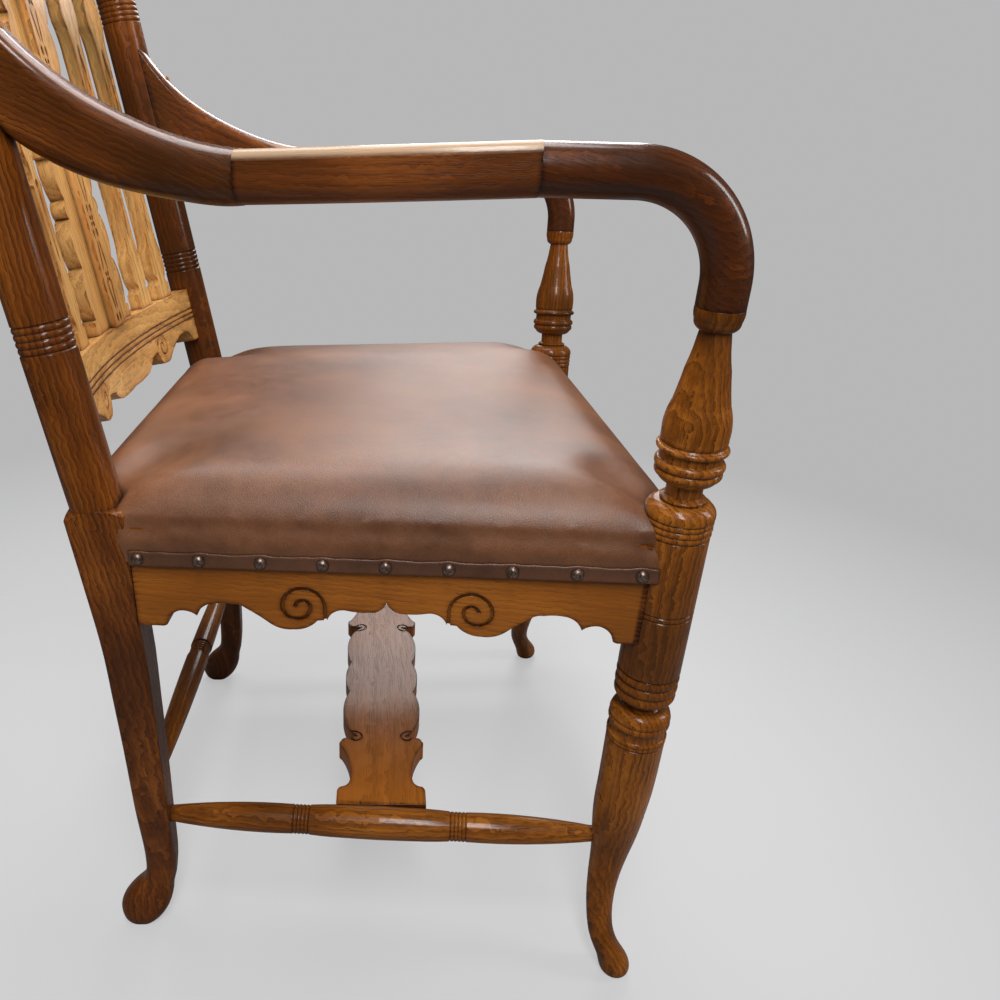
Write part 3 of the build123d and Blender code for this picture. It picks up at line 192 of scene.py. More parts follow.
def oak(name, along, pith, tones, ring_pitch=0.0042, polish=0.25, wear=0.12, stain_and_shade=0.9, crown=0.0):
    """Polished oak with rings round a pith line, long pores and worn edges; its hollows and joins are
    darkened as staining and painted shade, and where asked its upward faces are lightened as rub wear
    and painted highlight.
    """
    dark, middle, light = tones
    made, tree = new_material(name)
    place = node(tree, "ShaderNodeTexCoord").outputs["Object"]
    turned = Vector(along).normalized().rotation_difference(Vector((0, 0, 1))).to_euler("XYZ")
    moved = vector_math(tree, "SUBTRACT", place, tuple(pith))
    turning = {"Vector": moved, "Rotation": tuple(turned)}
    grain = node(tree, "ShaderNodeVectorRotate", turning, rotation_type="EULER_XYZ").outputs[0]
    drift = noise(tree, stretched(tree, grain, drift_scales), detail=4.0).outputs["Color"]
    drift = vector_math(tree, "SUBTRACT", drift, (0.5, 0.5, 0.5))
    warped = vector_math(tree, "ADD", grain, stretched(tree, drift, drift_reach))
    wave = {"Vector": warped, "Scale": ring_scale / ring_pitch, "Distortion": 5.0, "Detail": 3.0}
    wave["Detail Scale"] = 1.4
    ring_style = {"wave_type": "RINGS", "rings_direction": "Z", "wave_profile": "SAW"}
    rings = node(tree, "ShaderNodeTexWave", wave, **ring_style).outputs["Fac"]
    bands = noise(tree, stretched(tree, warped, band_scales), detail=4.0).outputs["Fac"]
    patina = noise(tree, place, scale=patina_scale, detail=3.0).outputs["Fac"]
    pores = noise(tree, stretched(tree, warped, pore_scales), detail=2.0, roughness=0.6).outputs["Fac"]
    pores = ramp(tree, pores, [(0.51, 0.0), (0.60, 1.0)])
    pores = math(tree, "MULTIPLY", pores, math(tree, "SUBTRACT", 1.1, rings, clamp=True))
    lines = stretched(tree, warped, fibre_scales)
    fibres = noise(tree, lines, detail=3.0, roughness=0.65).outputs["Fac"]
    hand = noise(tree, grain, scale=hand_scale, detail=1.0).outputs["Fac"]

    patches = scaled(tree, math(tree, "SUBTRACT", patina, 0.5), patina_share)
    value = total(
        tree, scaled(tree, rings, ring_share), scaled(tree, bands, band_share),
        scaled(tree, fibres, fibre_share), patches,
    )
    colour = ramp(tree, value, [(0.30, dark), (0.55, middle), (0.80, light)])
    colour = mix(tree, scaled(tree, pores, pore_dark), colour, shaded(dark, 0.30))
    inside = {"samples": 6, "inside": True, "only_local": True}
    edge_shade = node(tree, "ShaderNodeAmbientOcclusion", {"Distance": edge_reach}, **inside)
    edges = ramp(tree, edge_shade.outputs["AO"], [(0.52, 0.0), (0.95, 1.0)])
    colour = mix(tree, scaled(tree, edges, wear), colour, shaded(light, 1.5))
    # Upward faces lightened toward a pale colour: rub wear and painted highlight
    if crown:
        facing = node(tree, "ShaderNodeNewGeometry").outputs["Normal"]
        upward = node(tree, "ShaderNodeSeparateXYZ", {0: facing}).outputs[2]
        rub_and_highlight = scaled(tree, ramp(tree, upward, [(0.05, 0.0), (0.45, 1.0)]), crown)
        colour = mix(tree, rub_and_highlight, colour, rub_and_highlight_colour)
    # Hollows and joins darkened: staining and painted shade
    hollow = occlusion_shade(tree, hollow_reach, 0.28, 0.84)
    colour = mix(tree, scaled(tree, hollow, stain_and_shade), colour, hollow_stain_and_shade_colour)

    rough = (scaled(tree, fibres, fibre_roughness), scaled(tree, pores, pore_roughness))
    roughness = total(tree, roughness_least, *rough)
    height = total(
        tree, scaled(tree, pores, pore_relief), scaled(tree, fibres, fibre_relief),
        scaled(tree, hand, hand_relief),
    )
    rounded = node(tree, "ShaderNodeBevel", {"Radius": edge_radius}, samples=4).outputs[0]
    finish = {"Coat_Weight": polish, "Coat_Roughness": 0.15, "Specular_IOR_Level": 0.12}
    finish_material(tree, colour, roughness, height, relief_depth, rounded, **finish)
    return made


def dress(name, material):
    target = nodes[name]
    if not target.material_slots:
        target.data.materials.append(material)
    for place in target.material_slots:
        place.material = material


def dress_oak(name, along, pith, tones, kind="oak", **finish):
    dress(name, oak(f"{kind}_{name}", along, pith, tones, **finish))


# Tones of the wood, darkest to lightest
red_brown = ((0.007, 0.0014, 0.0004), (0.060, 0.0125, 0.0018), (0.210, 0.058, 0.009))
brown = ((0.012, 0.0026, 0.0005), (0.105, 0.0240, 0.0020), (0.290, 0.085, 0.010))
amber = ((0.018, 0.0040, 0.0005), (0.170, 0.0440, 0.0030), (0.420, 0.140, 0.015))
orange = ((0.026, 0.0055, 0.0006), (0.160, 0.0380, 0.0022), (0.360, 0.115, 0.013))
honey = ((0.110, 0.0290, 0.0040), (0.560, 0.205, 0.045), (0.820, 0.430, 0.145))
plain = ((0.20, 0.11, 0.05), (0.36, 0.23, 0.12), (0.50, 0.35, 0.20))

# Each piece's grain direction, a place on its pith line, its tones and its finish, on the left side
post_lean = (0.0, 0.1835, 0.983)
leg_lean = 0.0882
turned_finish = {"polish": 0.35}
leg_finish = {"ring_pitch": 0.0036, "polish": 0.35}
arm_finish = {"polish": 0.65}
# The pads' upward faces are lightened as rub wear and painted highlight
pad_finish = {"polish": 0.5, "wear": 0.3, "crown": 0.75}
fret_finish = {"ring_pitch": 0.006, "wear": 0.5}
# These finishes also set how much hollows and joins are darkened, as staining and painted shade
back_finish = {"ring_pitch": 0.006, "wear": 0.3, "stain_and_shade": 0.8}
splat_finish = {"ring_pitch": 0.005, "wear": 0.3, "stain_and_shade": 0.85}
slat_finish = {"ring_pitch": 0.005, "wear": 0.3, "stain_and_shade": 0.8}
paired = (
    ("front_leg", (leg_lean, -0.0105, 0.996), (0.235, -0.315, 0.30), amber, leg_finish),
    ("rear_post", post_lean, (0.265, 0.215, 0.45), brown, turned_finish),
    ("side_rail", (-0.105, 0.992, 0.06), (0.23, 0.0, 0.33), orange, {"wear": 0.45}),
    ("arm_front", (0.03, -0.96, -0.27), (0.33, -0.1, 0.72), red_brown, arm_finish),
    ("arm_pad", (0.12, -1.0, 0.03), (0.26, -0.05, 0.66), red_brown, pad_finish),
    # The rear of each arm takes lighter tones than its front, partly as a painted highlight on its
    # upper face
    ("arm_rear", (-0.28, 1.0, 0.42), (0.27, 0.1, 0.67), brown, arm_finish),
    ("side_stretcher", (-0.067, 1.0, 0.0), (0.25, 0.0, 0.16), amber, turned_finish),
)
single = (
    ("front_rail", (1.0, 0.02, 0.03), (0.0, -0.25, 0.34), orange, {"wear": 0.4}),
    ("rear_rail", (1.0, -0.02, 0.03), (0.0, 0.22, 0.34), orange, {"wear": 0.4}),
    ("rear_stretcher", (1.0, 0.0, 0.01), (0.0, 0.17, 0.19), amber, turned_finish),
    ("cross_stretcher", (1.0, 0.04, 0.02), (0.0, -0.02, 0.06), orange, fret_finish),
    ("lower_back_rail", (1.0, 0.0, 0.03), (0.0, 0.27, 0.45), honey, back_finish),
    ("crest_rail", (1.0, 0.0, -0.03), (0.0, 0.33, 0.84), honey, back_finish),
    ("splat", post_lean, (0.05, 0.28, 0.7), honey, splat_finish),
)
slat_pith = (0.04, 0.05)
slat_pith_height = 0.7

for side, name in ((1, "left"), (-1, "right")):
    for piece, along, pith, tones, finish in paired:
        sided = [(side * values[0], *values[1:]) for values in (along, pith)]
        dress_oak(f"{piece}_{name}", *sided, tones, **finish)
    for end in ("front", "rear"):
        title = f"corner_block_{end}_{name}"
        along, pith = (1.0, -side * 0.9, 0.0), (side * 0.2, 0.0, 0.3)
        dress_oak(title, along, pith, plain, kind="plain", polish=0.0, wear=0.1)
for piece, along, pith, tones, finish in single:
    dress_oak(piece, along, pith, tones, **finish)
for index in range(1, 5):
    slat = f"back_slat_{index}"
    low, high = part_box(slat)
    centre = (low + high) / 2
    pith = (centre.x + slat_pith[0], centre.y + slat_pith[1], slat_pith_height)
    dress_oak(slat, post_lean, pith, honey, **slat_finish)
dress_oak("arm_dowels", (0.2, 1.0, 0.1), (0.3, 0.0, 0.6), honey, kind="plain", polish=0.0)


# The leather's blotches, speckle and creases, and the metal's spots and the cloths' fuzz
blotch_scale, speckle_scale, spot_scale, fuzz_scale = 9.0, 70.0, 480.0, 300.0
blotch_share, speckle_share, crease_dark, speckle_roughness = 0.75, 0.25, 0.30, 0.14
crease_relief, speckle_relief, leather_depth = 0.35, 0.8, 0.00016
# The leather's hollows and the places where it meets other pieces are darkened: painted shade
leather_reach, leather_shade_share, leather_shade_colour = 0.009, 0.75, (0.010, 0.006, 0.005)
# The metal's hollows and the places where it meets other pieces are darkened: painted shade
metal_reach, metal_shade_share, metal_shade_colour = 0.003, 0.85, (0.010, 0.007, 0.006)
spot_roughness, metal_depth = 0.25, 0.00012
weave_share, fuzz_share, fuzz_relief, weave_depth, cloth_roughness = 0.7, 0.3, 0.4, 0.0005, 0.92


def leather(name, deep, worn, gloss, grain_scale=620.0):
    """Smooth brown hide with fine grain, soft blotches and a satin finish."""
    made, tree = new_material(name)
    place = node(tree, "ShaderNodeTexCoord").outputs["Object"]
    blotch = noise(tree, place, scale=blotch_scale, detail=4.0, roughness=0.55).outputs["Fac"]
    speckle = noise(tree, place, scale=speckle_scale, detail=3.0, roughness=0.6).outputs["Fac"]
    grain = {"Vector": place, "Scale": grain_scale}
    cells = node(tree, "ShaderNodeTexVoronoi", grain, feature="DISTANCE_TO_EDGE")
    creases = ramp(tree, cells.outputs["Distance"], [(0.0, 0.0), (0.22, 1.0)])
    value = total(tree, scaled(tree, blotch, blotch_share), scaled(tree, speckle, speckle_share))
    colour = ramp(tree, value, [(0.33, deep), (0.68, worn)])
    creased = scaled(tree, math(tree, "SUBTRACT", 1.0, creases), crease_dark)
    colour = mix(tree, creased, colour, shaded(deep, 0.5))
    # Hollows and places near other pieces darkened: painted shade
    hollow = occlusion_shade(tree, leather_reach, 0.20, 0.75)
    colour = mix(tree, scaled(tree, hollow, leather_shade_share), colour, leather_shade_colour)
    roughness = total(tree, gloss, scaled(tree, speckle, speckle_roughness))
    height = total(tree, scaled(tree, creases, crease_relief), scaled(tree, speckle, speckle_relief))
    finish = {"Coat_Weight": 0.14, "Coat_Roughness": 0.34}
    finish_material(tree, colour, roughness, height, leather_depth, **finish)
    return made


def metal(name, tint, stained, least_roughness):
    """Worn metal: paler spots on a darker, stained ground, and painted shade in its hollows and where
    it meets other pieces.
    """
    made, tree = new_material(name)
    place = node(tree, "ShaderNodeTexCoord").outputs["Object"]
    spots = noise(tree, place, scale=spot_scale, detail=3.0, roughness=0.6).outputs["Fac"]
    colour = ramp(tree, spots, [(0.38, stained), (0.62, tint)])
    # Hollows and places near other pieces darkened: painted shade
    hollow = occlusion_shade(tree, metal_reach, 0.25, 0.85)
    colour = mix(tree, scaled(tree, hollow, metal_shade_share), colour, metal_shade_colour)
    roughness = total(tree, least_roughness, scaled(tree, spots, spot_roughness))
    finish_material(tree, colour, roughness, spots, metal_depth, Metallic=0.85)
    return made


def woven(name, thread, dark_thread, scale):
    """Plain weave of coarse threads, with the threads' shade and bump in both directions."""
    made, tree = new_material(name)
    place = node(tree, "ShaderNodeTexCoord").outputs["Object"]
    threads = {"Vector": place, "Scale": scale, "Distortion": 0.6, "Detail": 1.0}
    warp = node(tree, "ShaderNodeTexWave", threads, bands_direction="X").outputs["Fac"]
    weft = node(tree, "ShaderNodeTexWave", threads, bands_direction="Y").outputs["Fac"]
    weave = scaled(tree, total(tree, warp, weft), 0.5)
    fuzz = noise(tree, place, scale=fuzz_scale, detail=3.0).outputs["Fac"]
    value = total(tree, scaled(tree, weave, weave_share), scaled(tree, fuzz, fuzz_share))
    colour = ramp(tree, value, [(0.25, dark_thread), (0.70, thread)])
    height = total(tree, weave, scaled(tree, fuzz, fuzz_relief))
    finish_material(tree, colour, cloth_roughness, height, weave_depth)
    return made


hide = leather("hide", (0.110, 0.0380, 0.0140), (0.270, 0.105, 0.042), 0.37)
band_hide = leather("band_hide", (0.080, 0.0300, 0.0130), (0.180, 0.072, 0.032), 0.32, 900.0)
nail_metal = metal("nail_metal", (0.36, 0.26, 0.21), (0.13, 0.080, 0.060), 0.26)
steel = metal("steel", (0.50, 0.49, 0.47), (0.32, 0.31, 0.30), 0.30)
jute = woven("jute", (0.42, 0.30, 0.17), (0.16, 0.10, 0.05), 160.0)
sacking = woven("sacking", (0.46, 0.34, 0.20), (0.20, 0.13, 0.07), 220.0)
for name in ("nails_left", "nails_right", "nails_front", "nails_rear"):
    dress(name, nail_metal)
dress("corner_screws", steel)


# The seat, set out on the plane of its nails: X across, Y back, and a height square to it
seat_slope = radians(1.15)
nail_height = 0.4117
seat_origin = Vector((0.0, shift_y, nail_height))
seat_back = Vector((0.0, cos(seat_slope), -sin(seat_slope)))
seat_up = Vector((0.0, sin(seat_slope), cos(seat_slope)))
rail_lean = radians(4.6)
rear_lean = radians(6.0)
side_middle = 0.266
front_edge = -0.224
rear_edge = 0.2407
rail_top = 0.023
# The side rails come 38 mm closer over 400 mm toward the back
side_turn = atan(0.038 / 0.4)
nail_pitch = 0.048
nail_counts = {"left": 9, "right": 9, "front": 10, "rear": 8}
# The front leg's axis at one level, the room round it, and the rear blocks' faces
leg_axis_x, leg_axis_y, leg_axis_level = 0.272, -0.2172, 0.460
leg_room = 0.0170
block_x = 0.2110
block_y = 0.2070
# How softly the corners round: the notches, the seat's foot, and any two near values
notch_blend = 0.002
foot_blend = 0.006
rounding = 0.45
# The widest a ring can be, how often its search is halved, and its number of points
ring_reach = 0.42
ring_halvings = 26
ring_count = 240


def seat_to_world(x, y, height):
    return seat_origin + Vector((x, 0.0, 0.0)) + seat_back * y + seat_up * height


def soft_least(values, blend):
    """The least of the values, rounded off where two of them are nearly equal."""
    low = min(values)
    return low - rounding * blend * (sum(exp((low - value) / blend) for value in values) - 1.0)


def inset_at(x, y, height, blend):
    """How far inside the rails' outer faces, and clear of the legs, a point of the seat lies."""
    x = abs(x)
    face = side_middle + height * tan(rail_lean) / cos(side_turn)
    side = (face - x) * cos(side_turn) - y * sin(side_turn)
    front = y - front_edge
    rear = rear_edge + height * tan(rear_lean) - y
    edges = soft_least((side, front, rear), blend)
    leg_x = leg_axis_x + (nail_height + height - leg_axis_level) * leg_lean
    leg = hypot(x - leg_x, y - leg_axis_y) - leg_room
    block = max(block_x - x, block_y - y)
    return soft_least((edges, leg, block), notch_blend)


def ring(height, inset, blend):
    """Points round the seat at one height, all the same distance inside its edge."""
    found = []
    for step in range(ring_count):
        angle = 2 * pi * step / ring_count
        way = (cos(angle), sin(angle))
        low, high = 0.0, ring_reach
        for _ in range(ring_halvings):
            middle = (low + high) / 2
            if inset_at(way[0] * middle, way[1] * middle, height, blend) > inset:
                low = middle
            else:
                high = middle
        found.append((way[0] * low, way[1] * low))
    return found


def smooth_rows(table, steps):
    """A smooth curve through a table's rows, with steps points to each stretch."""
    found = []
    for index in range(len(table) - 1):
        before = table[max(index - 1, 0)]
        start, end = table[index], table[index + 1]
        after = table[min(index + 2, len(table) - 1)]
        for step in range(steps):
            t = step / steps
            row = []
            for a, b, c, d in zip(before, start, end, after):
                bend = (2 * a - 5 * b + 4 * c - d) * t * t
                row.append(0.5 * (2 * b + (c - a) * t + bend + (3 * b - a - 3 * c + d) * t ** 3))
            found.append(tuple(row))
    return found + [tuple(table[-1])]


# Height above the nails, inset from the rails' faces, and softness of the corners
cushion_rows = (
    (-0.016, -0.0026, 0.006), (0.002, -0.0026, 0.006), (0.012, -0.0042, 0.007), (0.023, -0.0060, 0.009),
    (0.033, -0.0068, 0.013), (0.042, -0.0045, 0.018), (0.0495, 0.0025, 0.024), (0.0555, 0.0140, 0.031),
    (0.0600, 0.0340, 0.039), (0.0635, 0.0680, 0.047), (0.0660, 0.1120, 0.050), (0.0670, 0.1600, 0.050),
)
crown_height = 0.0685
crown_base = 0.036


def grid_faces(rows, width, closed=False):
    """Faces between rows of points, each row width long, and joined round if closed."""
    faces = []
    for row in range(rows - 1):
        base = row * width
        for step in range(width if closed else width - 1):
            after = (step + 1) % width
            faces.append((base + step, base + after, base + width + after, base + width + step))
    return faces


def mesh_object(name, points, faces):
    mesh = bpy.data.meshes.new(name)
    mesh.from_pydata([tuple(point) for point in points], [], faces)
    mesh.update()
    made = bpy.data.objects.new(name, mesh)
    bpy.context.scene.collection.objects.link(made)
    for face in mesh.polygons:
        face.use_smooth = True
    return made


def flatten(piece):
    """The piece's modifiers become its mesh."""
    graph = bpy.context.evaluated_depsgraph_get()
    mesh = bpy.data.meshes.new_from_object(piece.evaluated_get(graph))
    piece.modifiers.clear()
    old = piece.data
    piece.data = mesh
    bpy.data.meshes.remove(old)


def thicken(piece, thickness, offset=0.0):
    """Gives a sheet its thickness, inward where the offset is -1."""
    skin = piece.modifiers.new("skin", "SOLIDIFY")
    skin.thickness = thickness
    skin.offset = offset
    flatten(piece)


def cushion_block():
    """The stuffed seat before the cloth: rings of points, closed below and at the crown."""
    points = []
    table = smooth_rows(cushion_rows, 3)
    for height, inset, blend in table:
        points += [seat_to_world(x, y, height) for x, y in ring(height, inset, blend)]
    faces = grid_faces(len(table), ring_count, closed=True)
    faces.append(tuple(reversed(range(ring_count))))
    points.append(seat_to_world(0.0, 0.0, crown_height))
    last = (len(table) - 1) * ring_count
    for step in range(ring_count):
        faces.append((last + step, last + (step + 1) % ring_count, len(points) - 1))
    return mesh_object("seat_leather", points, faces)


def seat_height(point):
    return (point - seat_origin).dot(seat_up)


# The cloth is held fast up to one height and let go over the next few millimetres
held_height = 0.009
held_fade = 0.012
cloth_frames = 20
cloth_stiffness = 18.0
furthest_move = 0.007


def inflate(piece):
    """Presses the stuffing outward with cloth held at the nails, and caps how far it goes."""
    start = [vertex.co.copy() for vertex in piece.data.vertices]
    held = piece.vertex_groups.new(name="held")
    for vertex in piece.data.vertices:
        height = seat_height(vertex.co)
        weight = 1.0 if height < held_height else max(0.0, 1.0 - (height - held_height) / held_fade)
        if weight > 0.0:
            held.add([vertex.index], weight, "REPLACE")
    cloth = piece.modifiers.new("cloth", "CLOTH")
    settings = cloth.settings
    settings.quality = 5
    settings.mass = 0.3
    settings.tension_stiffness = cloth_stiffness
    settings.compression_stiffness = cloth_stiffness
    settings.bending_stiffness = 3.0
    settings.use_pressure = True
    settings.uniform_pressure_force = 4.0
    settings.vertex_group_mass = "held"
    settings.effector_weights.gravity = 0.0
    cloth.collision_settings.use_collision = False
    cloth.point_cache.frame_end = cloth_frames
    for step in range(1, cloth_frames + 1):
        bpy.context.scene.frame_set(step)
    flatten(piece)
    for vertex, place in zip(piece.data.vertices, start):
        move = vertex.co - place
        if move.length > furthest_move:
            vertex.co = place + move.normalized() * furthest_move
    bpy.context.scene.frame_set(1)
    piece.vertex_groups.clear()


# Where above the nails, and how near the edge, the leather is pulled in, and by how much
pull_low = 0.006
pull_span = 0.028
pull_inset = 0.012
side_zone = 0.020
pull_wave = 0.0011
pull_least = 0.0003


def nail_wave(along, count):
    """One at a nail and nought halfway between two, for a rail with this many nails."""
    phase = along / nail_pitch - (0.5 if count % 2 == 0 else 0.0)
    return 0.5 + 0.5 * cos(2 * pi * phase)


def nail_pull(point):
    """Inward pull of the leather just above the band, strongest at each nail."""
    local = point - seat_origin
    x, y, height = local.x, local.dot(seat_back), local.dot(seat_up)
    inset = inset_at(x, y, height, foot_blend)
    if height < pull_low or height > pull_low + pull_span or inset > pull_inset:
        return 0.0, Vector((0, 0, 0))
    side_gap = (side_middle - abs(x)) * cos(side_turn) - y * sin(side_turn)
    if side_gap < side_zone:
        side, along, out = "left", y / cos(side_turn), Vector((1 if x > 0 else -1, 0, 0))
    elif y < 0:
        side, along, out = "front", x, -seat_back
    else:
        side, along, out = "rear", x, seat_back
    fade = sin(pi * (height - pull_low) / pull_span)
    return (pull_wave * (0.5 - nail_wave(along, nail_counts[side])) - pull_least) * fade, out


def soften(bm, times, lowest=-1.0):
    """Evens out the points above one height, the whole piece if none is given."""
    chosen = [vertex for vertex in bm.verts if seat_height(vertex.co) > lowest]
    axes = {"use_axis_x": True, "use_axis_y": True, "use_axis_z": True}
    for _ in range(times):
        bmesh.ops.smooth_vert(bm, verts=chosen, factor=0.5, **axes)


voxel_size = 0.0048
cushion_foot = -0.0055
hide_thickness = 0.0016
crown_softening = 24


def make_cushion():
    piece = cushion_block()
    remesh = piece.modifiers.new("remesh", "REMESH")
    remesh.mode = "VOXEL"
    remesh.voxel_size = voxel_size
    flatten(piece)
    bm = bmesh.new()
    bm.from_mesh(piece.data)
    soften(bm, 2)
    bm.to_mesh(piece.data)
    bm.free()
    inflate(piece)
    bm = bmesh.new()
    bm.from_mesh(piece.data)
    soften(bm, 2)
    soften(bm, crown_softening, crown_base)
    geometry = list(bm.verts) + list(bm.edges) + list(bm.faces)
    cut = seat_origin + seat_up * cushion_foot
    bmesh.ops.bisect_plane(bm, geom=geometry, plane_co=cut, plane_no=seat_up, clear_inner=True)
    bm.to_mesh(piece.data)
    bm.free()
    for vertex in piece.data.vertices:
        depth, out = nail_pull(vertex.co)
        vertex.co += out * depth
    subdivide = piece.modifiers.new("smooth", "SUBSURF")
    subdivide.levels = subdivide.render_levels = 1
    thicken(piece, hide_thickness, -1.0)
    for face in piece.data.polygons:
        face.use_smooth = True
    piece.data.materials.clear()
    piece.data.materials.append(hide)
    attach(piece, "root")
    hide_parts("seat_cover", "seat_stuffing")


make_cushion()


# The strip of leather under the nails: height across it and share of its thickness, thicker at
# its folded edges
band_profile = (
    (-0.00625, 0.1), (-0.0062, 0.75), (-0.0052, 1.0), (-0.0035, 0.86), (0.0, 0.80),
    (0.0035, 0.88), (0.0053, 1.1), (0.0062, 0.85), (0.0063, 0.1),
)
band_half = 0.00625
band_step = 0.003
# Its top edge is lifted at each nail, and wavers by these sizes, rates and starts
band_lift = 0.0009
band_wobble = ((0.00025, 173.0, 0.0), (0.0002, 397.0, 1.3))
# How far its foot and its full thickness stand off the nail plane, and how deep a nail presses it
band_foot = 0.0029
band_thickness = 0.0019
band_dimple = 0.0006
# Where the bands stop against the legs and the rear blocks
band_front = -0.2035
band_rear = 0.1982
band_reach = {"front": 0.2445, "rear": 0.2092}


def rail_frame(side):
    """A point at the nails, the directions along and out, and the lean of one rail's outer face."""
    if side == "front":
        return seat_to_world(0, front_edge, 0), Vector((1, 0, 0)), -seat_back, 0.0
    if side == "rear":
        return seat_to_world(0, rear_edge, 0), Vector((-1, 0, 0)), seat_back, rear_lean
    sign = 1 if side == "left" else -1
    along = (Vector((-sin(side_turn) * sign, 0, 0)) + seat_back * cos(side_turn)).normalized() * sign
    out = along.cross(seat_up).normalized()
    return seat_to_world(sign * side_middle, 0, 0), along, out, rail_lean


def make_band(side, count):
    origin, along, out, lean = rail_frame(side)
    up = (seat_up * cos(lean) + out * sin(lean)).normalized()
    face_out = (out * cos(lean) - seat_up * sin(lean)).normalized()
    if side in band_reach:
        first, last = -band_reach[side], band_reach[side]
    else:
        first, last = sorted(end / along.dot(seat_back) for end in (band_front, band_rear))
    steps = int((last - first) / band_step)
    points = []
    for step in range(steps + 1):
        place = first + (last - first) * step / steps
        near = nail_wave(place, count) ** 3
        wobble = sum(size * sin(place * rate + start) for size, rate, start in band_wobble)
        for rise, thick in band_profile:
            share = (rise + band_half) / (2 * band_half)
            lifted = rise + share ** 2 * (band_lift * near + wobble)
            dimple = band_dimple * near * (1.0 - abs(2 * share - 1))
            depth = band_foot + band_thickness * thick - dimple
            points.append(origin + along * place + up * lifted + face_out * depth)
    width = len(band_profile)
    faces = grid_faces(steps + 1, width, closed=True)
    faces.append(tuple(reversed(range(width))))
    faces.append(tuple(range(steps * width, (steps + 1) * width)))
    piece = mesh_object("band_" + side, points, faces)
    piece.data.materials.append(band_hide)
    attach(piece, "root")
    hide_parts("leather_band_" + side)


for side, count in nail_counts.items():
    make_band(side, count)


# Webbing under the stuffing: straps that pass over and under each other, tacked to the rails' tops
strap_width = 0.050
strap_pitch = 0.082
strap_count = 5
strap_thickness = 0.0013
strap_places = [(index - (strap_count - 1) / 2) * strap_pitch for index in range(strap_count)]
strap_end = 0.006
strap_step = 0.006
strap_columns = 6
strap_level = rail_top + 0.0019
strap_wave = 0.0008
strap_steepness = 2.2


def strap(lengthwise, index, place):
    """The points and faces of one strap, lifted over the straps that it crosses and let under."""
    if lengthwise:
        first, last = front_edge + strap_end, rear_edge - strap_end
    else:
        last = side_middle - strap_end - (place + strap_width / 2) * tan(side_turn)
        first = -last
    points = []
    steps = int((last - first) / strap_step)
    sign = 1 if (index % 2 == 0) == lengthwise else -1
    for step in range(steps + 1):
        run = first + (last - first) * step / steps
        wave = max(-1.0, min(1.0, strap_steepness * cos(pi * (run / strap_pitch))))
        level = strap_level + strap_wave * sign * wave
        for column in range(strap_columns + 1):
            off = place + strap_width * (column / strap_columns - 0.5)
            x, y = (off, run) if lengthwise else (run, off)
            points.append(seat_to_world(x, y, level))
    return points, grid_faces(steps + 1, strap_columns + 1)


def make_webbing(name, lengthwise):
    points, faces = [], []
    for index, place in enumerate(strap_places):
        more_points, more_faces = strap(lengthwise, index, place)
        faces += [tuple(corner + len(points) for corner in face) for face in more_faces]
        points += more_points
    piece = mesh_object(name + "_straps", points, faces)
    thicken(piece, strap_thickness)
    piece.data.materials.append(jute)
    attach(piece, "root")
    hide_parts(name)


make_webbing("webbing_lengthwise", True)
make_webbing("webbing_crosswise", False)


sacking_level = rail_top + 0.0049
sacking_inset = 0.0075
sacking_thickness = 0.0007
sacking_rings = 10


def make_sacking():
    """The hessian stretched over the webbing, cut round the legs."""
    edge = ring(sacking_level, sacking_inset, foot_blend)
    points = []
    for step in range(sacking_rings):
        share = 1.0 - 0.1 * step
        points += [seat_to_world(x * share, y * share, sacking_level) for x, y in edge]
    faces = grid_faces(sacking_rings, ring_count, closed=True)
    faces.append(tuple(range((sacking_rings - 1) * ring_count, sacking_rings * ring_count)))
    piece = mesh_object("hessian_sheet", points, faces)
    thicken(piece, sacking_thickness)
    piece.data.materials.append(sacking)
    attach(piece, "root")
    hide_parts("hessian")


make_sacking()


# Floor, background and soft studio light
floor_radius = 6.0


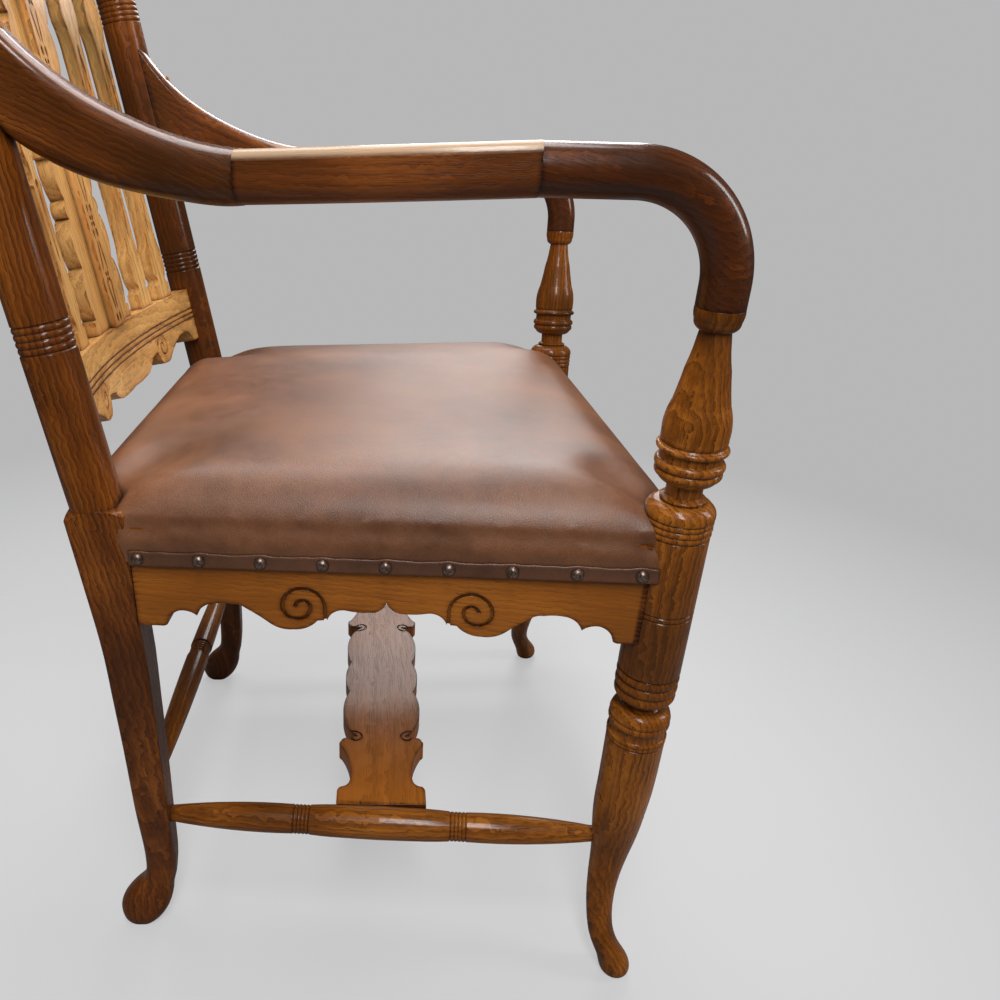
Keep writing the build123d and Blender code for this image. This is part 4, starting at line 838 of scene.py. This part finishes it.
def make_floor():
    """A round grey floor that fades out before its rim, and shines only for the camera."""
    bpy.ops.mesh.primitive_circle_add(
        vertices=96, radius=floor_radius, fill_type="NGON", location=(0, 0, 0)
    )
    floor = bpy.context.object
    floor.name = "floor"
    made, tree = new_material("floor")
    place = node(tree, "ShaderNodeTexCoord").outputs["Object"]
    reach = node(tree, "ShaderNodeVectorMath", {0: place}, operation="LENGTH").outputs["Value"]
    faint = noise(tree, place, scale=1.4, detail=2.0).outputs["Fac"]
    colour = ramp(tree, faint, [(0.3, (0.26, 0.26, 0.262)), (0.7, (0.28, 0.28, 0.282))])
    shader = node(tree, "ShaderNodeBsdfPrincipled", {"Base Color": colour, "Roughness": 0.65})
    shader.inputs["Specular IOR Level"].default_value = 0.1
    shader.inputs["Emission Color"].default_value = (0.425, 0.425, 0.43, 1.0)
    seen = node(tree, "ShaderNodeLightPath").outputs["Is Camera Ray"]
    tree.links.new(seen, shader.inputs["Emission Strength"])
    clear = node(tree, "ShaderNodeBsdfTransparent")
    fade = ramp(tree, math(tree, "DIVIDE", reach, floor_radius), [(0.02, 0.0), (0.24, 1.0)])
    joined = node(tree, "ShaderNodeMixShader", {0: fade, 1: shader.outputs[0], 2: clear.outputs[0]})
    output = node(tree, "ShaderNodeOutputMaterial")
    tree.links.new(joined.outputs[0], output.inputs["Surface"])
    floor.data.materials.append(made)


make_floor()

# The wall is pale to the camera, and dimmer in what it lights and in what it mirrors
world = bpy.data.worlds.new("room")
world.use_nodes = True
tree = world.node_tree
path = node(tree, "ShaderNodeLightPath")
mirrored = mix(tree, path.outputs["Is Glossy Ray"], (0.20, 0.20, 0.205), (0.045, 0.045, 0.045))
wall = mix(tree, path.outputs["Is Camera Ray"], mirrored, (0.475, 0.475, 0.480))
tree.links.new(wall, tree.nodes["Background"].inputs["Color"])
bpy.context.scene.world = world


def softbox(name, place, target, width, height, power):
    data = bpy.data.lights.new(name, "AREA")
    data.shape = "RECTANGLE"
    data.size, data.size_y = width, height
    data.energy = power
    made = bpy.data.objects.new(name, data)
    made.location = place
    made.rotation_euler = (Vector(target) - Vector(place)).to_track_quat("-Z", "Y").to_euler()
    made.visible_camera = False
    bpy.context.scene.collection.objects.link(made)


softbox("overhead", (0.5, 0.1, 2.2), (0, 0, 0.5), 1.3, 1.0, 24.0)
softbox("far_window", (2.8, -0.5, 2.3), (0, 0, 0.45), 1.4, 1.6, 50.0)
softbox("front_window", (-0.2, -2.5, 1.7), (0, 0, 0.5), 0.5, 1.4, 20.0)
softbox("near_fill", (-1.35, -0.1, 2.0), (0, 0, 0.75), 0.35, 1.3, 30.0)
bpy.context.scene.view_settings.view_transform = "Standard"
